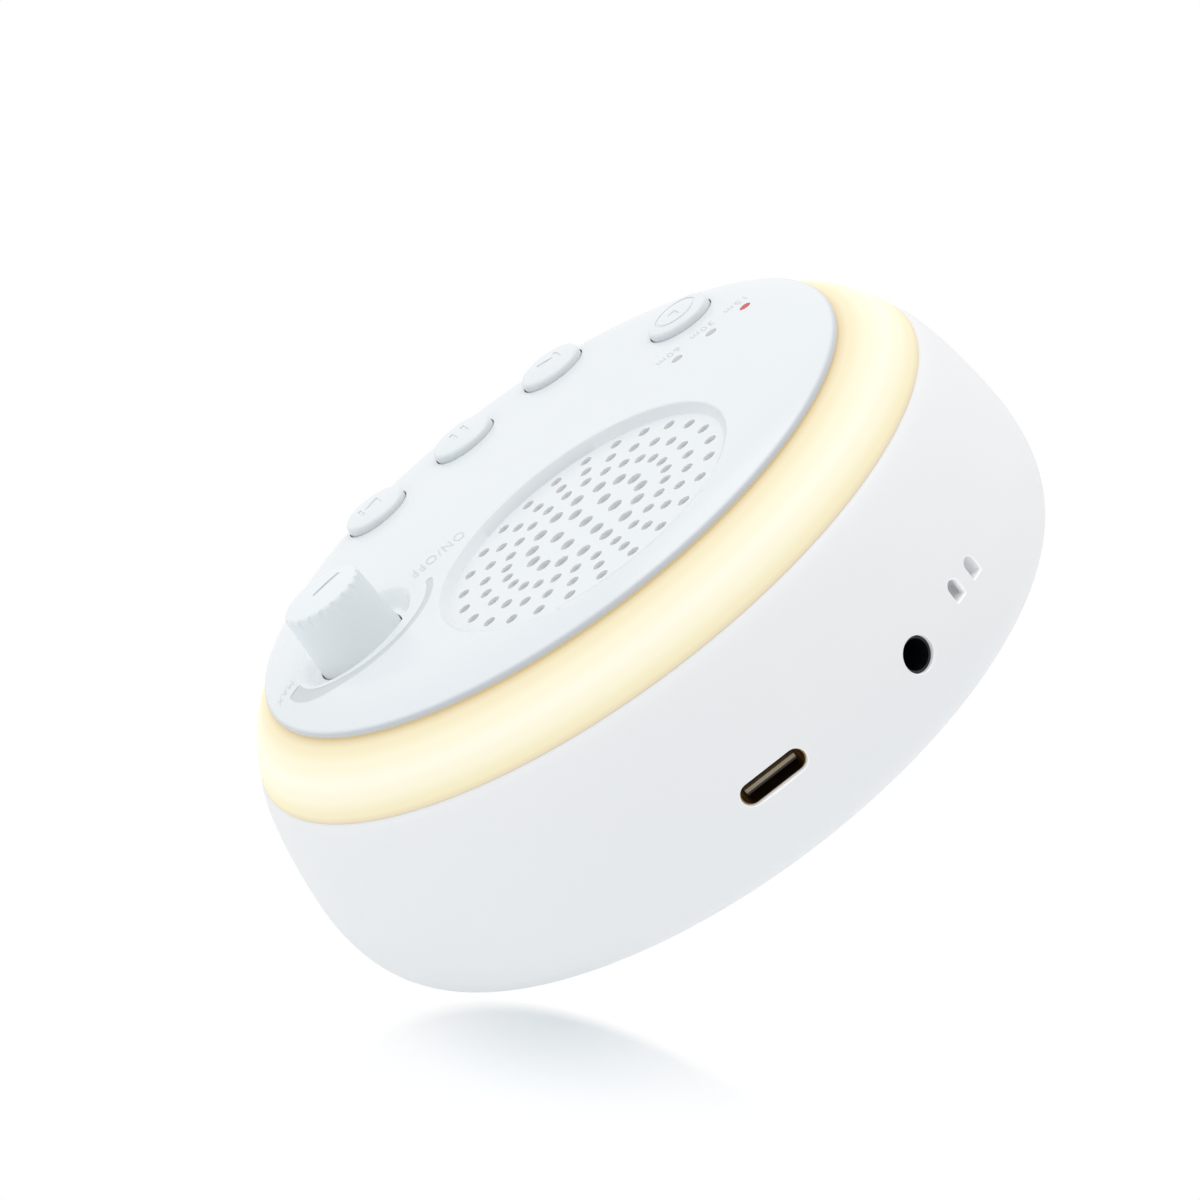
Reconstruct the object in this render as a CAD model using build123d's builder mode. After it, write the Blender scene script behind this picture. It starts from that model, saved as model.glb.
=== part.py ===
from build123d import *
import os
from math import cos, radians, sin, sqrt

# White noise sound machine: a bowl-shaped body, a glowing ring and a domed top plate
# with a speaker grille, a volume knob and four round buttons.
# Millimetres. +Z is up, the machine rests on Z = 0, -Y is the user's side and +Y the
# side with the sockets. Angles are measured from +X, socket angles from +Y towards +X.

os.makedirs("parts", exist_ok=True)

# ---------------------------------------------------------------- driving dimensions
# Bowl
body_radius = 50.0  # widest radius
body_widest_z = 13.5
body_wall = 2.2
seam_inset = 3.4  # the seam with the light ring lies this far inside the widest radius
seam_z = 29.85
base_inset = 14.4  # the flat underside starts this far inside the widest radius
foot_lift = 0.7  # underside above the table
side_swell = 12.4  # how far down the widest stretch reaches
foot_swell = 6.4  # how far out the flat underside reaches into the bend

# Top plate
plate_inset = 6.3  # inside the seam
plate_rise = 7.35  # lower edge above the seam
plate_edge_height = 0.6
plate_edge_round = 0.25
plate_crown_height = 3.4  # crown above the lower edge
plate_shoulder_inset = 7.3
plate_shoulder_drop = 0.6
plate_wall = 2.0
skirt_inset = 1.9
skirt_wall = 1.4
skirt_depth = 2.2
shadow_gap = 0.3  # dark line between plate and ring
shadow_width = 0.6

# Speaker field
speaker_edge_margin = 2.3  # between the recess and the plate's edge
grille_margin = 0.6  # the grille is this much wider than the speaker
grille_depth = 1.35  # floor of the field below the crown
grille_thickness = 1.0
grille_flange = 0.5  # thickness and width of the flange below the grille
recess_slope = 0.9
ring_hole_radius = 0.96
outer_hole_radius = 0.79
centre_ring_radii = [3.98, 7.44]
centre_ring_counts = [6, 15]
outer_ring_insets = [7.69, 4.71, 1.71]  # inside the grille's edge
outer_ring_count = 25
first_hole_angle = 90  # every ring has a hole on the +Y side
speaker_radius = 18.0
speaker_flange = 1.0
collar_wall = 1.1
speaker_depth = 17.0
basket_inset = 1.7
magnet_radius = 10.5
magnet_height = 6.0
magnet_chamfer = 0.5
surround_width = 2.4
cone_depth = 5.0
dust_cap_radius = 5.0
gasket_thickness = 0.6
mesh_thickness = 0.3
speaker_screw_angles = [15, 165, 270]
basket_wall = 1.0
basket_lip = 0.6  # height of the basket's straight rim
basket_hub_width = 4.5  # ring of the basket that lies on the magnet
window_size = 7.0
window_height = 4.0
window_count = 6
window_inset = 2.4
gasket_width = 2.0
roll_height = 0.6
roll_thickness = 0.4
cone_wall = 0.5
cone_drop = 0.3  # edge of the cone below the gasket
dust_cap_height = 1.5
dust_cap_wall = 0.5
coil_wall = 0.6
speaker_washer_width = 2.6
speaker_washer_thickness = 0.8
speaker_screw_length = 3.0

# Volume knob
knob_inset = 12.9  # knob's axis inside the plate's edge
knob_y = 1.1
knob_height = 6.5  # top above the plate's crown
knob_crown = 0.3
knob_edge = 0.5
knob_top_radius = 5.1
knob_base_radius = 5.55
knob_sink = 0.9  # how far the knob reaches below the dish's floor
knob_gap = 0.2
knob_cap = 2.4  # thickness above the shaft
knob_flutes = 20
flute_radius = 0.46
flute_depth = 0.22
flute_length = 1.5
flute_lean = 10.5
pointer_reach = 3.4  # outer end from the knob's axis
pointer_tail = 0.85  # inner end beyond the knob's axis
pointer_width = 0.3
pointer_depth = 0.45
pointer_angle = 15  # from -X towards the user's side, the knob's off position
dish_depth = 2.1  # floor of the knob's dish below the crown
dish_floor_radius = 6.3
dish_radius = 8.4
dish_blend_width = 0.7
dish_blend_height = 0.72
dish_rim_width = 0.25
dish_rim_height = 0.3
dish_wall = 1.6
dish_floor_margin = 1.5
mark_depth = 0.3
mark_outer_radius = 10.74
mark_outer_x = -0.6  # centres of the mark's two circles from the knob's axis
mark_outer_y = 0.37
mark_inner_radius = 9.73
mark_inner_x = -1.06
mark_inner_y = 0.81
mark_end_y = 0.7  # line that cuts the mark's ends, above the knob's axis
mark_end_tilt = -7
shaft_radius = 3.0
shaft_flat = 1.5
shaft_clearance = 0.08
shaft_lift = 1.0  # bottom of the shaft above the control board
bore_clearance = 0.03
pot_size = 12.0
pot_height = 4.6
pot_corner = 1.0
bushing_radius = 4.2
bushing_gap = 0.4  # below the knob

# Buttons
button_radius = 4.15
button_gap = 0.2
button_rise = 1.4  # crown of the cap above the plate
button_crown = 0.42
button_inset = 8.591  # centres of the row's outer buttons inside the plate's edge
switch_lug_gap = 0.912  # between an outer button's switch and the screw lug beside it
timer_inset = 12.7
timer_y = -12.4
button_travel = 0.5
button_flange = 0.85
button_flange_height = 0.8
button_edge = 0.5

# Timer lights
light_inset = 12.5  # the middle light inside the plate's edge
light_y = -1.7
light_pitch = 5.1
light_radius = 0.66
light_clearance = 0.04
indicator_length = 1.6
indicator_width = 0.9
indicator_height = 0.8

# Control board
control_board_drop = 6.2  # top face below the plate's lower edge
board_thickness = 1.6
control_board_gap = 2.5  # inside the light carrier's wall
control_board_arm = 26.3  # the arms beside the speaker end this far inside the plate's edge
speaker_clearance = 2.2
front_screw_inset = 20.0
side_screw_inset = 12.8
side_screw_y = -14.0
inner_screw_inset = 24.3
inner_screw_y = -7.0
switch_size = 6.0
switch_height = 4.1
switch_floor = 1.2
switch_corner = 0.4
plunger_radius = 1.7
plunger_rise = 1.8
plunger_clearance = 0.08
plunger_end_gap = 0.2
lug_clearance = 0.6

# Light ring
ring_edge_inset = 0.1  # top edge inside the plate's edge
ring_bulge = 1.0
ring_wall = 2.0
spigot_depth = 2.0
spigot_wall = 1.8
ring_lip = 1.7  # height of the ring's straight inner edge
fit_clearance = 0.2
seat_clearance = 0.05
weld = 0.6  # how far a boss or a floor runs into the plate
cut_above = 1.0  # how far a cutter reaches above the crown

# Light carrier
carrier_inset = 1.0  # outer wall inside the plate's skirt
carrier_wall = 1.2
carrier_drop = 2.4  # top below the plate's lower edge
carrier_flange = 1.5
carrier_step = 1.4
carrier_step_height = 1.0
ledge_width = 2.6
ledge_height = 1.2
strip_thickness = 0.3
strip_height = 4.0
strip_lift = 0.4
ring_leds = 24
led_glue = 0.05
led_width = 2.8
led_height = 2.0
led_depth = 0.8
lug_radius = 3.4
lug_thickness = 1.8
plate_boss_reach = 1.6  # above the plate's lower edge
plate_screw_inset = 5.4  # inside the plate's skirt
front_lug_angle = 50  # from the user's side of the X axis
plate_screw_angles = [28, 152, 180 + front_lug_angle, 360 - front_lug_angle]
deck_screw_inset = 6.0  # inside the seam
deck_screw_angles = [45, 135, 225, 315]

# Sockets
usb_angle = 5.0
usb_rise = 0.55  # above the bowl's widest line
usb_width = 8.94
usb_height = 3.26
usb_length = 7.35
usb_shell = 0.33
usb_mouth_width = 8.6
usb_mouth_height = 2.7
usb_back = 1.0  # thickness of the receptacle's back
socket_pocket_clearance = 0.4
tongue_width = 6.69
tongue_thickness = 0.7
tongue_length = 5.6
jack_angle = -19.75
jack_drop = 0.45  # below the bowl's widest line
jack_bore_radius = 1.8
jack_nose_radius = 3.0
jack_nose_length = 2.4
jack_width = 6.4
jack_height = 5.2
jack_length = 12.0
jack_back = 1.2
jack_mouth_radius = 2.0
socket_skin = 0.6  # bowl wall left in front of a socket
socket_setback = 0.1
lanyard_angle = -32.5
lanyard_rise = 1.0  # above the bowl's widest line
lanyard_pitch = 4.0
lanyard_slot_width = 1.75
lanyard_slot_height = 2.4
lanyard_pad = 2.4
lanyard_pad_margin = 2.0
lanyard_pad_overlap = 1.0

# Power board and battery
power_board_inset = 5.0  # rounded edge inside the bowl's widest radius
power_board_front_inset = 26.0
power_board_left_x = -28.0
power_board_right_x = 18.0
left_screw_inset = 7.8
left_screw_angle = 126.3
right_screw_inset = 16.9
right_screw_angle = 65.0
battery_inset = 14.0  # ends inside the base cover's edge
battery_slimness = 5.0  # the battery's width is the base cover's radius less this
battery_height = 8.0
battery_y = -3.0
pad_thickness = 0.6
cradle_wall = 1.2
cradle_height = 5.0
cradle_corner = 2.0
pad_margin = 2.0  # the pad stays this far inside the battery
battery_corner = 1.5
battery_edge = 0.8
ribbon_inset = 17.3  # inside the plate's edge
ribbon_width = 8.0
ribbon_thickness = 0.4
header_height = 2.4
header_depth = 3.0
header_margin = 1.0  # beyond the ribbon on each side
header_clearance = 1.5  # between a header and its board's edge
lower_header_offset = 4.0
ribbon_bend = 3.0

# Base cover, feet and screws
hatch_margin = 2.6  # inside the flat underside's edge
hatch_thickness = 2.1
hatch_ledge = 3.4
hatch_ledge_thickness = 2.0
foot_radius = 4.0
foot_sink = 0.7
foot_chamfer = 0.3
foot_inset = 8.0  # inside the base cover's edge
foot_angles = [0, 90, 180, 270]
base_screw_inset = 2.4
base_screw_angles = [45, 135, 225, 315]
screw_radius = 1.1
screw_hole_radius = 1.3
pilot_clearance = 0.04
screw_head_radius = 2.0
screw_head_height = 1.1
screw_length = 7.0
head_clearance = 0.1
drive_radius = 0.88
drive_depth = 0.6
boss_radius = 2.3
board_boss_radius = 2.0
board_screw_length = 5.0
tip_clearance = 0.1

# ---------------------------------------------------------------- derived places
seam_radius = body_radius - seam_inset
base_radius = body_radius - base_inset
hatch_radius = base_radius - hatch_margin
foot_circle_radius = hatch_radius - foot_inset
base_screw_circle_radius = hatch_radius - base_screw_inset
plate_radius = seam_radius - plate_inset
plate_rim_z = seam_z + plate_rise
plate_crown_z = plate_rim_z + plate_crown_height
plate_shoulder_radius = plate_radius - plate_shoulder_inset
skirt_radius = plate_radius - skirt_inset
grille_radius = speaker_radius + grille_margin
outer_ring_radii = [grille_radius - inset for inset in outer_ring_insets]
grille_floor_z = plate_crown_z - grille_depth
recess_rim_radius = grille_radius + recess_slope
speaker_y = plate_radius - speaker_edge_margin - recess_rim_radius
basket_radius = speaker_radius - basket_inset
cone_radius = speaker_radius - gasket_width - surround_width
knob_x = plate_radius - knob_inset
knob_top_z = plate_crown_z + knob_height
dish_floor_z = plate_crown_z - dish_depth
plate_screw_radius = skirt_radius - plate_screw_inset
front_lug_x = plate_screw_radius * cos(radians(front_lug_angle))
button_pitch = front_lug_x - lug_radius - switch_lug_gap - switch_size / 2
button_row_y = -sqrt((plate_radius - button_inset) ** 2 - button_pitch**2)
timer_x = timer_inset - plate_radius
light_x = light_inset - plate_radius
control_board_z = plate_rim_z - control_board_drop
carrier_wall_radius = skirt_radius - carrier_inset
carrier_top_z = plate_rim_z - carrier_drop
control_board_radius = carrier_wall_radius - control_board_gap
control_board_back_y = plate_radius - control_board_arm
control_screws = [
    (0.0, front_screw_inset - plate_radius),
    (plate_radius - side_screw_inset, side_screw_y),
    (inner_screw_inset - plate_radius, inner_screw_y),
    (plate_radius - inner_screw_inset, inner_screw_y),
]
ring_top_radius = plate_radius - ring_edge_inset
deck_screw_radius = seam_radius - deck_screw_inset
usb_z = body_widest_z + usb_rise
jack_z = body_widest_z - jack_drop
lanyard_z = body_widest_z + lanyard_rise
power_board_radius = body_radius - power_board_inset
power_board_front_y = body_radius - power_board_front_inset
battery_length = 2 * (hatch_radius - battery_inset)
battery_width = hatch_radius - battery_slimness
ribbon_x = ribbon_inset - plate_radius
knob_hole_radius = knob_base_radius + knob_gap
button_hole_radius = button_radius + button_gap
pilot_radius = screw_radius + pilot_clearance
hatch_top_z = foot_lift + hatch_thickness
spigot_radius = seam_radius - body_wall - fit_clearance
spigot_bottom_z = seam_z - spigot_depth
carrier_floor_z = spigot_bottom_z - carrier_flange
ledge_z = carrier_floor_z
power_board_z = usb_z - usb_height / 2
grille_under_z = grille_floor_z - grille_thickness - grille_flange
mesh_z = grille_under_z - mesh_thickness
gasket_z = mesh_z - gasket_thickness
speaker_under_z = gasket_z - speaker_flange
collar_radius = grille_radius + grille_flange
button_places = {
    "previous": (-button_pitch, button_row_y),
    "pause": (0.0, button_row_y),
    "next": (button_pitch, button_row_y),
    "timer": (timer_x, timer_y),
}
light_places = {
    "15": (light_x - light_pitch, light_y),
    "30": (light_x, light_y),
    "60": (light_x + light_pitch, light_y),
}


crown_sphere = (plate_shoulder_radius**2 + plate_shoulder_drop**2) / (2 * plate_shoulder_drop)


def crown_z(x, y):
    """Height of the plate's crown over the point (x, y), inside its shoulder."""
    return plate_crown_z - crown_sphere + sqrt(crown_sphere**2 - x * x - y * y)


def around(radius, angles):
    """Points on a circle about the machine's axis."""
    return [(radius * cos(radians(a)), radius * sin(radians(a))) for a in angles]


def socket_plane(angle, z, radius):
    """Plane square to the bowl's wall, its normal pointing outwards, its Y upwards."""
    a = radians(angle)
    return Plane(
        origin=(radius * sin(a), radius * cos(a), z),
        x_dir=(-cos(a), sin(a), 0),
        z_dir=(sin(a), cos(a), 0),
    )


def finish_piece(piece, name, colour):
    """Labels a piece, gives it a colour and writes its STEP file."""
    piece.part.label = name
    piece.part.color = Color(colour)
    export_step(piece.part, f"parts/{name}.step")


dish_rim_z = crown_z(knob_x, knob_y)
plate_screw_places = around(plate_screw_radius, plate_screw_angles)
deck_screw_places = around(deck_screw_radius, deck_screw_angles)
base_screw_places = around(base_screw_circle_radius, base_screw_angles)
power_screws = around(body_radius - left_screw_inset, [left_screw_angle]) + around(
    body_radius - right_screw_inset, [right_screw_angle]
)
foot_places = around(foot_circle_radius, foot_angles)
speaker_screw_circle = collar_radius + boss_radius - weld
speaker_screw_places = [
    (x, y + speaker_y) for x, y in around(speaker_screw_circle, speaker_screw_angles)
]


# ---------------------------------------------------------------- bowl
def bowl_section(inset):
    """Half section of the bowl, moved inwards by inset."""
    widest = (body_radius - inset, body_widest_z)
    top = (seam_radius - inset, seam_z)
    base = (base_radius - inset / 2, foot_lift + inset)
    drop = inset * 0.8
    with BuildLine() as line:
        Bezier(
            top,
            (seam_radius + 1.8 - inset, seam_z - 1.25 - drop),
            (widest[0], body_widest_z + 3.8),
            widest,
        )
        Bezier(
            widest,
            (widest[0], body_widest_z - side_swell + inset),
            (base_radius + foot_swell - inset / 2, base[1]),
            base,
        )
        Polyline(base, (0, base[1]), (0, seam_z), top)
    return line.line


with BuildPart() as body_shell:
    with BuildSketch(Plane.XZ):
        add(bowl_section(0))
        make_face()
    revolve(axis=Axis.Z)
    with BuildSketch(Plane.XZ):
        add(bowl_section(body_wall))
        make_face()
    revolve(axis=Axis.Z, mode=Mode.SUBTRACT)
    ledge_inner = spigot_radius + 1.0 - ledge_width
    deck_lug_reach = deck_screw_inset - body_wall / 2
    # opening for the base cover
    with BuildSketch(Plane.XY.offset(foot_lift)):
        Circle(hatch_radius + fit_clearance)
    extrude(amount=body_wall + fit_clearance, mode=Mode.SUBTRACT)
    # ledge that carries the light carrier
    with BuildSketch(Plane.XZ):
        with BuildLine():
            Polyline(
                (seam_radius, ledge_z),
                (ledge_inner, ledge_z),
                (ledge_inner, ledge_z - ledge_height),
                (seam_radius, ledge_z - ledge_height - ledge_width),
                close=True,
            )
        make_face()
    revolve(axis=Axis.Z)
    # lugs for the screws that pull the deck down
    with BuildSketch(Plane.XY.offset(ledge_z)):
        with Locations(*deck_screw_places):
            Circle(lug_radius)
        with Locations(*[Location((0, 0, 0), (0, 0, angle)) for angle in deck_screw_angles]):
            with Locations((deck_screw_radius, 0)):
                Rectangle(deck_lug_reach, 2 * lug_radius, align=(Align.MIN, Align.CENTER))
    extrude(amount=-lug_thickness)
    # ledge and bosses for the base cover
    with BuildSketch(Plane.XY.offset(hatch_top_z)):
        Circle(base_radius + 1.0)
        Circle(hatch_radius - hatch_ledge, mode=Mode.SUBTRACT)
    extrude(amount=hatch_ledge_thickness)
    with BuildSketch(Plane.XY.offset(hatch_top_z)):
        with Locations(*base_screw_places):
            Circle(boss_radius)
    extrude(amount=screw_length - screw_head_height)
    # posts under the power board
    with BuildSketch(Plane.XY.offset(power_board_z - board_thickness)):
        with Locations(*power_screws):
            Circle(boss_radius)
    extrude(amount=-(power_board_z - board_thickness - hatch_top_z))
    # pad behind the lanyard slots
    with BuildSketch(socket_plane(lanyard_angle, lanyard_z, body_radius - body_wall - lanyard_pad)):
        RectangleRounded(
            lanyard_pitch + lanyard_slot_width + 2 * lanyard_pad_margin,
            lanyard_slot_height + 2 * lanyard_pad_margin,
            lanyard_pad_margin / 2,
        )
    extrude(amount=lanyard_pad + lanyard_pad_overlap)
    # screw holes
    with Locations(*[(x, y, hatch_top_z) for x, y in base_screw_places]):
        Cylinder(
            pilot_radius,
            screw_length,
            align=(Align.CENTER, Align.CENTER, Align.MIN),
            mode=Mode.SUBTRACT,
        )
    with Locations(*[(x, y, power_board_z - board_thickness) for x, y in power_screws]):
        Cylinder(
            pilot_radius,
            board_screw_length,
            align=(Align.CENTER, Align.CENTER, Align.MAX),
            mode=Mode.SUBTRACT,
        )
    with Locations(*[(x, y, ledge_z) for x, y in deck_screw_places]):
        Cylinder(
            screw_hole_radius,
            lug_thickness,
            align=(Align.CENTER, Align.CENTER, Align.MAX),
            mode=Mode.SUBTRACT,
        )
    # USB-C mouth and the pocket behind it
    with BuildSketch(socket_plane(usb_angle, usb_z, body_radius + 1)):
        SlotOverall(usb_mouth_width, usb_mouth_height)
    extrude(amount=-(body_wall + 4), mode=Mode.SUBTRACT)
    with BuildSketch(socket_plane(usb_angle, usb_z, body_radius - socket_skin)):
        SlotOverall(usb_width + socket_pocket_clearance, usb_height + socket_pocket_clearance)
    extrude(amount=-(body_wall + 2), mode=Mode.SUBTRACT)
    # headphone mouth and the pocket behind it
    with BuildSketch(socket_plane(jack_angle, jack_z, body_radius + 1)):
        Circle(jack_mouth_radius)
    extrude(amount=-(body_wall + 4), mode=Mode.SUBTRACT)
    with BuildSketch(socket_plane(jack_angle, jack_z, body_radius - socket_skin)):
        Circle(jack_nose_radius + fit_clearance)
    extrude(amount=-(body_wall + 2), mode=Mode.SUBTRACT)
    # lanyard tunnel: an arched section swept round the bar between the two slots
    slot_plane = socket_plane(lanyard_angle, lanyard_z, body_radius)
    arch_radius = lanyard_slot_width / 2
    with BuildSketch(slot_plane):
        with Locations((lanyard_pitch / 2, 0)):
            Rectangle(lanyard_slot_width, lanyard_slot_height - 2 * arch_radius)
            with Locations((0, lanyard_slot_height / 2 - arch_radius)):
                Circle(arch_radius)
            with Locations((0, -lanyard_slot_height / 2 + arch_radius / 2)):
                Rectangle(lanyard_slot_width, arch_radius)
    revolve(
        axis=Axis(slot_plane.origin, slot_plane.y_dir),
        revolution_arc=360,
        mode=Mode.SUBTRACT,
    )
finish_piece(body_shell, "body_shell", 0xE9ECEE)

# ---------------------------------------------------------------- base cover
with BuildPart() as base_cover:
    with BuildSketch(Plane.XY.offset(foot_lift)):
        Circle(hatch_radius)
    extrude(amount=hatch_thickness)
    # cradle walls round the battery
    with BuildSketch(Plane.XY.offset(hatch_top_z)):
        with Locations((0, battery_y)):
            RectangleRounded(
                battery_length + 2 * (cradle_wall + fit_clearance),
                battery_width + 2 * (cradle_wall + fit_clearance),
                cradle_corner,
            )
            Rectangle(
                battery_length + 2 * fit_clearance,
                battery_width + 2 * fit_clearance,
                mode=Mode.SUBTRACT,
            )
            Rectangle(battery_length / 2, battery_width * 2, mode=Mode.SUBTRACT)
    extrude(amount=cradle_height)
    with Locations(*[(x, y, foot_lift) for x, y in foot_places]):
        Cylinder(
            foot_radius + seat_clearance,
            foot_sink,
            align=(Align.CENTER, Align.CENTER, Align.MIN),
            mode=Mode.SUBTRACT,
        )
    with Locations(*[(x, y, foot_lift) for x, y in base_screw_places]):
        Cylinder(
            screw_hole_radius,
            hatch_thickness,
            align=(Align.CENTER, Align.CENTER, Align.MIN),
            mode=Mode.SUBTRACT,
        )
        Cylinder(
            screw_head_radius + head_clearance,
            screw_head_height,
            align=(Align.CENTER, Align.CENTER, Align.MIN),
            mode=Mode.SUBTRACT,
        )
finish_piece(base_cover, "base_cover", 0xDADDDF)

for number, (x, y) in enumerate(foot_places, start=1):
    with BuildPart() as foot:
        with BuildSketch(Plane.XY):
            with Locations((x, y)):
                Circle(foot_radius)
        extrude(amount=foot_lift + foot_sink)
        chamfer(foot.edges().filter_by(GeomType.CIRCLE).group_by(Axis.Z)[0], foot_chamfer)
    finish_piece(foot, f"rubber_foot_{number}", 0x3A3C3E)


def screws_up(places, head_z, length, name):
    """Screws driven upwards: the head ends at head_z, where the shank starts."""
    with BuildPart() as screws:
        with BuildSketch(Plane.XY.offset(head_z - screw_head_height)):
            with Locations(*places):
                Circle(screw_head_radius)
                RegularPolygon(drive_radius, 6, mode=Mode.SUBTRACT)
        extrude(amount=drive_depth)
        with BuildSketch(Plane.XY.offset(head_z - screw_head_height + drive_depth)):
            with Locations(*places):
                Circle(screw_head_radius)
        extrude(amount=screw_head_height - drive_depth)
        with BuildSketch(Plane.XY.offset(head_z)):
            with Locations(*places):
                Circle(screw_radius)
        extrude(amount=length - screw_head_height)
    finish_piece(screws, name, 0x9EA2A6)


screws_up(base_screw_places, foot_lift + screw_head_height, screw_length, "base_screws")
screws_up(
    deck_screw_places,
    ledge_z - lug_thickness,
    screw_head_height + lug_thickness + carrier_flange - tip_clearance,
    "deck_screws",
)
screws_up(plate_screw_places, carrier_top_z - lug_thickness, board_screw_length, "plate_screws")
screws_up(
    control_screws,
    control_board_z - board_thickness,
    board_screw_length + board_thickness,
    "control_board_screws",
)

# ---------------------------------------------------------------- top plate
shoulder = (plate_shoulder_radius, plate_crown_z - plate_shoulder_drop)
edge_top = (plate_radius, plate_rim_z + plate_edge_height)
skirt_inner = skirt_radius - skirt_wall


def crown_line(drop):
    """The plate's crown and shoulder, lowered by drop, from its centre to its edge."""
    with BuildLine() as line:
        crown = TangentArc(
            (0, plate_crown_z - drop),
            (shoulder[0], shoulder[1] - drop),
            tangent=(1, 0),
        )
        TangentArc(
            (shoulder[0], shoulder[1] - drop),
            (edge_top[0], edge_top[1] - drop),
            tangent=crown % 1,
        )
    return line.line


with BuildPart() as top_plate:
    with BuildSketch(Plane.XZ):
        with BuildLine():
            add(crown_line(0))
            Polyline(
                edge_top,
                (plate_radius, plate_rim_z),
                (0, plate_rim_z),
                (0, plate_crown_z),
            )
        make_face()
    revolve(axis=Axis.Z)
    fillet(top_plate.edges().filter_by(GeomType.CIRCLE).group_by(Axis.Z)[1], plate_edge_round)
    # skirt that drops into the ring
    with BuildSketch(Plane.XY.offset(plate_rim_z)):
        Circle(skirt_radius)
        Circle(skirt_inner, mode=Mode.SUBTRACT)
    extrude(amount=-skirt_depth)
    # hollow under the crown
    with BuildSketch(Plane.XZ):
        with BuildLine():
            Polyline(
                (0, plate_crown_z - plate_wall),
                (shoulder[0], shoulder[1] - plate_wall),
                (skirt_inner, shoulder[1] - plate_wall - head_clearance),
                (skirt_inner, plate_rim_z - skirt_depth),
                (0, plate_rim_z - skirt_depth),
                close=True,
            )
        make_face()
    revolve(axis=Axis.Z, mode=Mode.SUBTRACT)
    # collar round the speaker
    with BuildSketch(Plane.XY.offset(speaker_under_z)):
        with Locations((0, speaker_y)):
            Circle(collar_radius + collar_wall)
        Circle(skirt_radius, mode=Mode.INTERSECT)
        with Locations(*speaker_screw_places):
            Circle(boss_radius)
    extrude(amount=grille_floor_z - grille_thickness - speaker_under_z + weld)
    # bosses for the plate screws and the control board
    with BuildSketch(Plane.XY.offset(carrier_top_z)):
        with Locations(*plate_screw_places):
            Circle(boss_radius)
    extrude(amount=plate_rim_z + plate_boss_reach - carrier_top_z)
    with BuildSketch(Plane.XY.offset(control_board_z)):
        with Locations(*control_screws):
            Circle(board_boss_radius)
    extrude(amount=plate_rim_z + plate_boss_reach - control_board_z)
    # floor under the knob dish
    with BuildSketch(Plane.XY.offset(dish_floor_z - dish_wall)):
        with Locations((knob_x, knob_y)):
            Circle(dish_radius + dish_floor_margin)
    extrude(amount=dish_wall + weld)
    # recess and seat of the grille
    with BuildSketch(Plane.XZ):
        with BuildLine():
            Polyline(
                (0, grille_floor_z - grille_thickness),
                (grille_radius + seat_clearance, grille_floor_z - grille_thickness),
                (grille_radius + seat_clearance, grille_floor_z),
                (recess_rim_radius, plate_crown_z - head_clearance),
                (recess_rim_radius + fit_clearance, plate_crown_z + cut_above),
                (0, plate_crown_z + cut_above),
                close=True,
            )
        make_face()
    recess = revolve(axis=Axis.Z, mode=Mode.PRIVATE)
    add(recess.moved(Location((0, speaker_y, 0))), mode=Mode.SUBTRACT)
    with BuildSketch(Plane.XY.offset(grille_floor_z - grille_thickness)):
        with Locations((0, speaker_y)):
            Circle(collar_radius + seat_clearance)
    extrude(amount=-(grille_floor_z - grille_thickness - speaker_under_z), mode=Mode.SUBTRACT)
    # dish and hole of the knob
    with BuildSketch(Plane.XZ):
        with BuildLine():
            Line((0, dish_floor_z), (dish_floor_radius, dish_floor_z))
            ThreePointArc(
                (dish_floor_radius, dish_floor_z),
                (dish_radius - dish_blend_width, dish_floor_z + dish_blend_height),
                (dish_radius - dish_rim_width, dish_rim_z - dish_rim_height),
            )
            Polyline(
                (dish_radius - dish_rim_width, dish_rim_z - dish_rim_height),
                (dish_radius, dish_rim_z),
                (dish_radius + cut_above, plate_crown_z + cut_above),
                (0, plate_crown_z + cut_above),
                (0, dish_floor_z),
            )
        make_face()
    dish = revolve(axis=Axis.Z, mode=Mode.PRIVATE)
    add(dish.moved(Location((knob_x, knob_y, 0))), mode=Mode.SUBTRACT)
    with Locations((knob_x, knob_y, dish_floor_z)):
        Cylinder(knob_hole_radius, 3 * plate_wall, mode=Mode.SUBTRACT)
    # holes of the buttons and the timer lights
    for x, y in button_places.values():
        with Locations((x, y, crown_z(x, y))):
            Cylinder(button_hole_radius, 4 * plate_wall, mode=Mode.SUBTRACT)
    for x, y in light_places.values():
        with Locations((x, y, crown_z(x, y))):
            Cylinder(light_radius + light_clearance, 4 * plate_wall, mode=Mode.SUBTRACT)
    # tapering volume mark, sunk into the crown
    with BuildSketch(Plane.XZ):
        with BuildLine():
            add(crown_line(0))
            add(crown_line(mark_depth))
            Line((0, plate_crown_z), (0, plate_crown_z - mark_depth))
            Line(edge_top, (edge_top[0], edge_top[1] - mark_depth))
        make_face()
    skin = revolve(axis=Axis.Z, mode=Mode.PRIVATE)
    with BuildSketch(Plane.XY.offset(plate_rim_z), mode=Mode.PRIVATE) as mark:
        with Locations((knob_x + mark_outer_x, knob_y + mark_outer_y)):
            Circle(mark_outer_radius)
        with Locations((knob_x + mark_inner_x, knob_y + mark_inner_y)):
            Circle(mark_inner_radius, mode=Mode.SUBTRACT)
        with Locations((knob_x, knob_y + mark_end_y)):
            Rectangle(
                3 * mark_outer_radius,
                2 * mark_outer_radius,
                rotation=mark_end_tilt,
                align=(Align.CENTER, Align.MAX),
                mode=Mode.SUBTRACT,
            )
    mark_cut = extrude(mark.sketch, amount=plate_crown_z - plate_rim_z, mode=Mode.PRIVATE)
    add(skin & mark_cut, mode=Mode.SUBTRACT)
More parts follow.
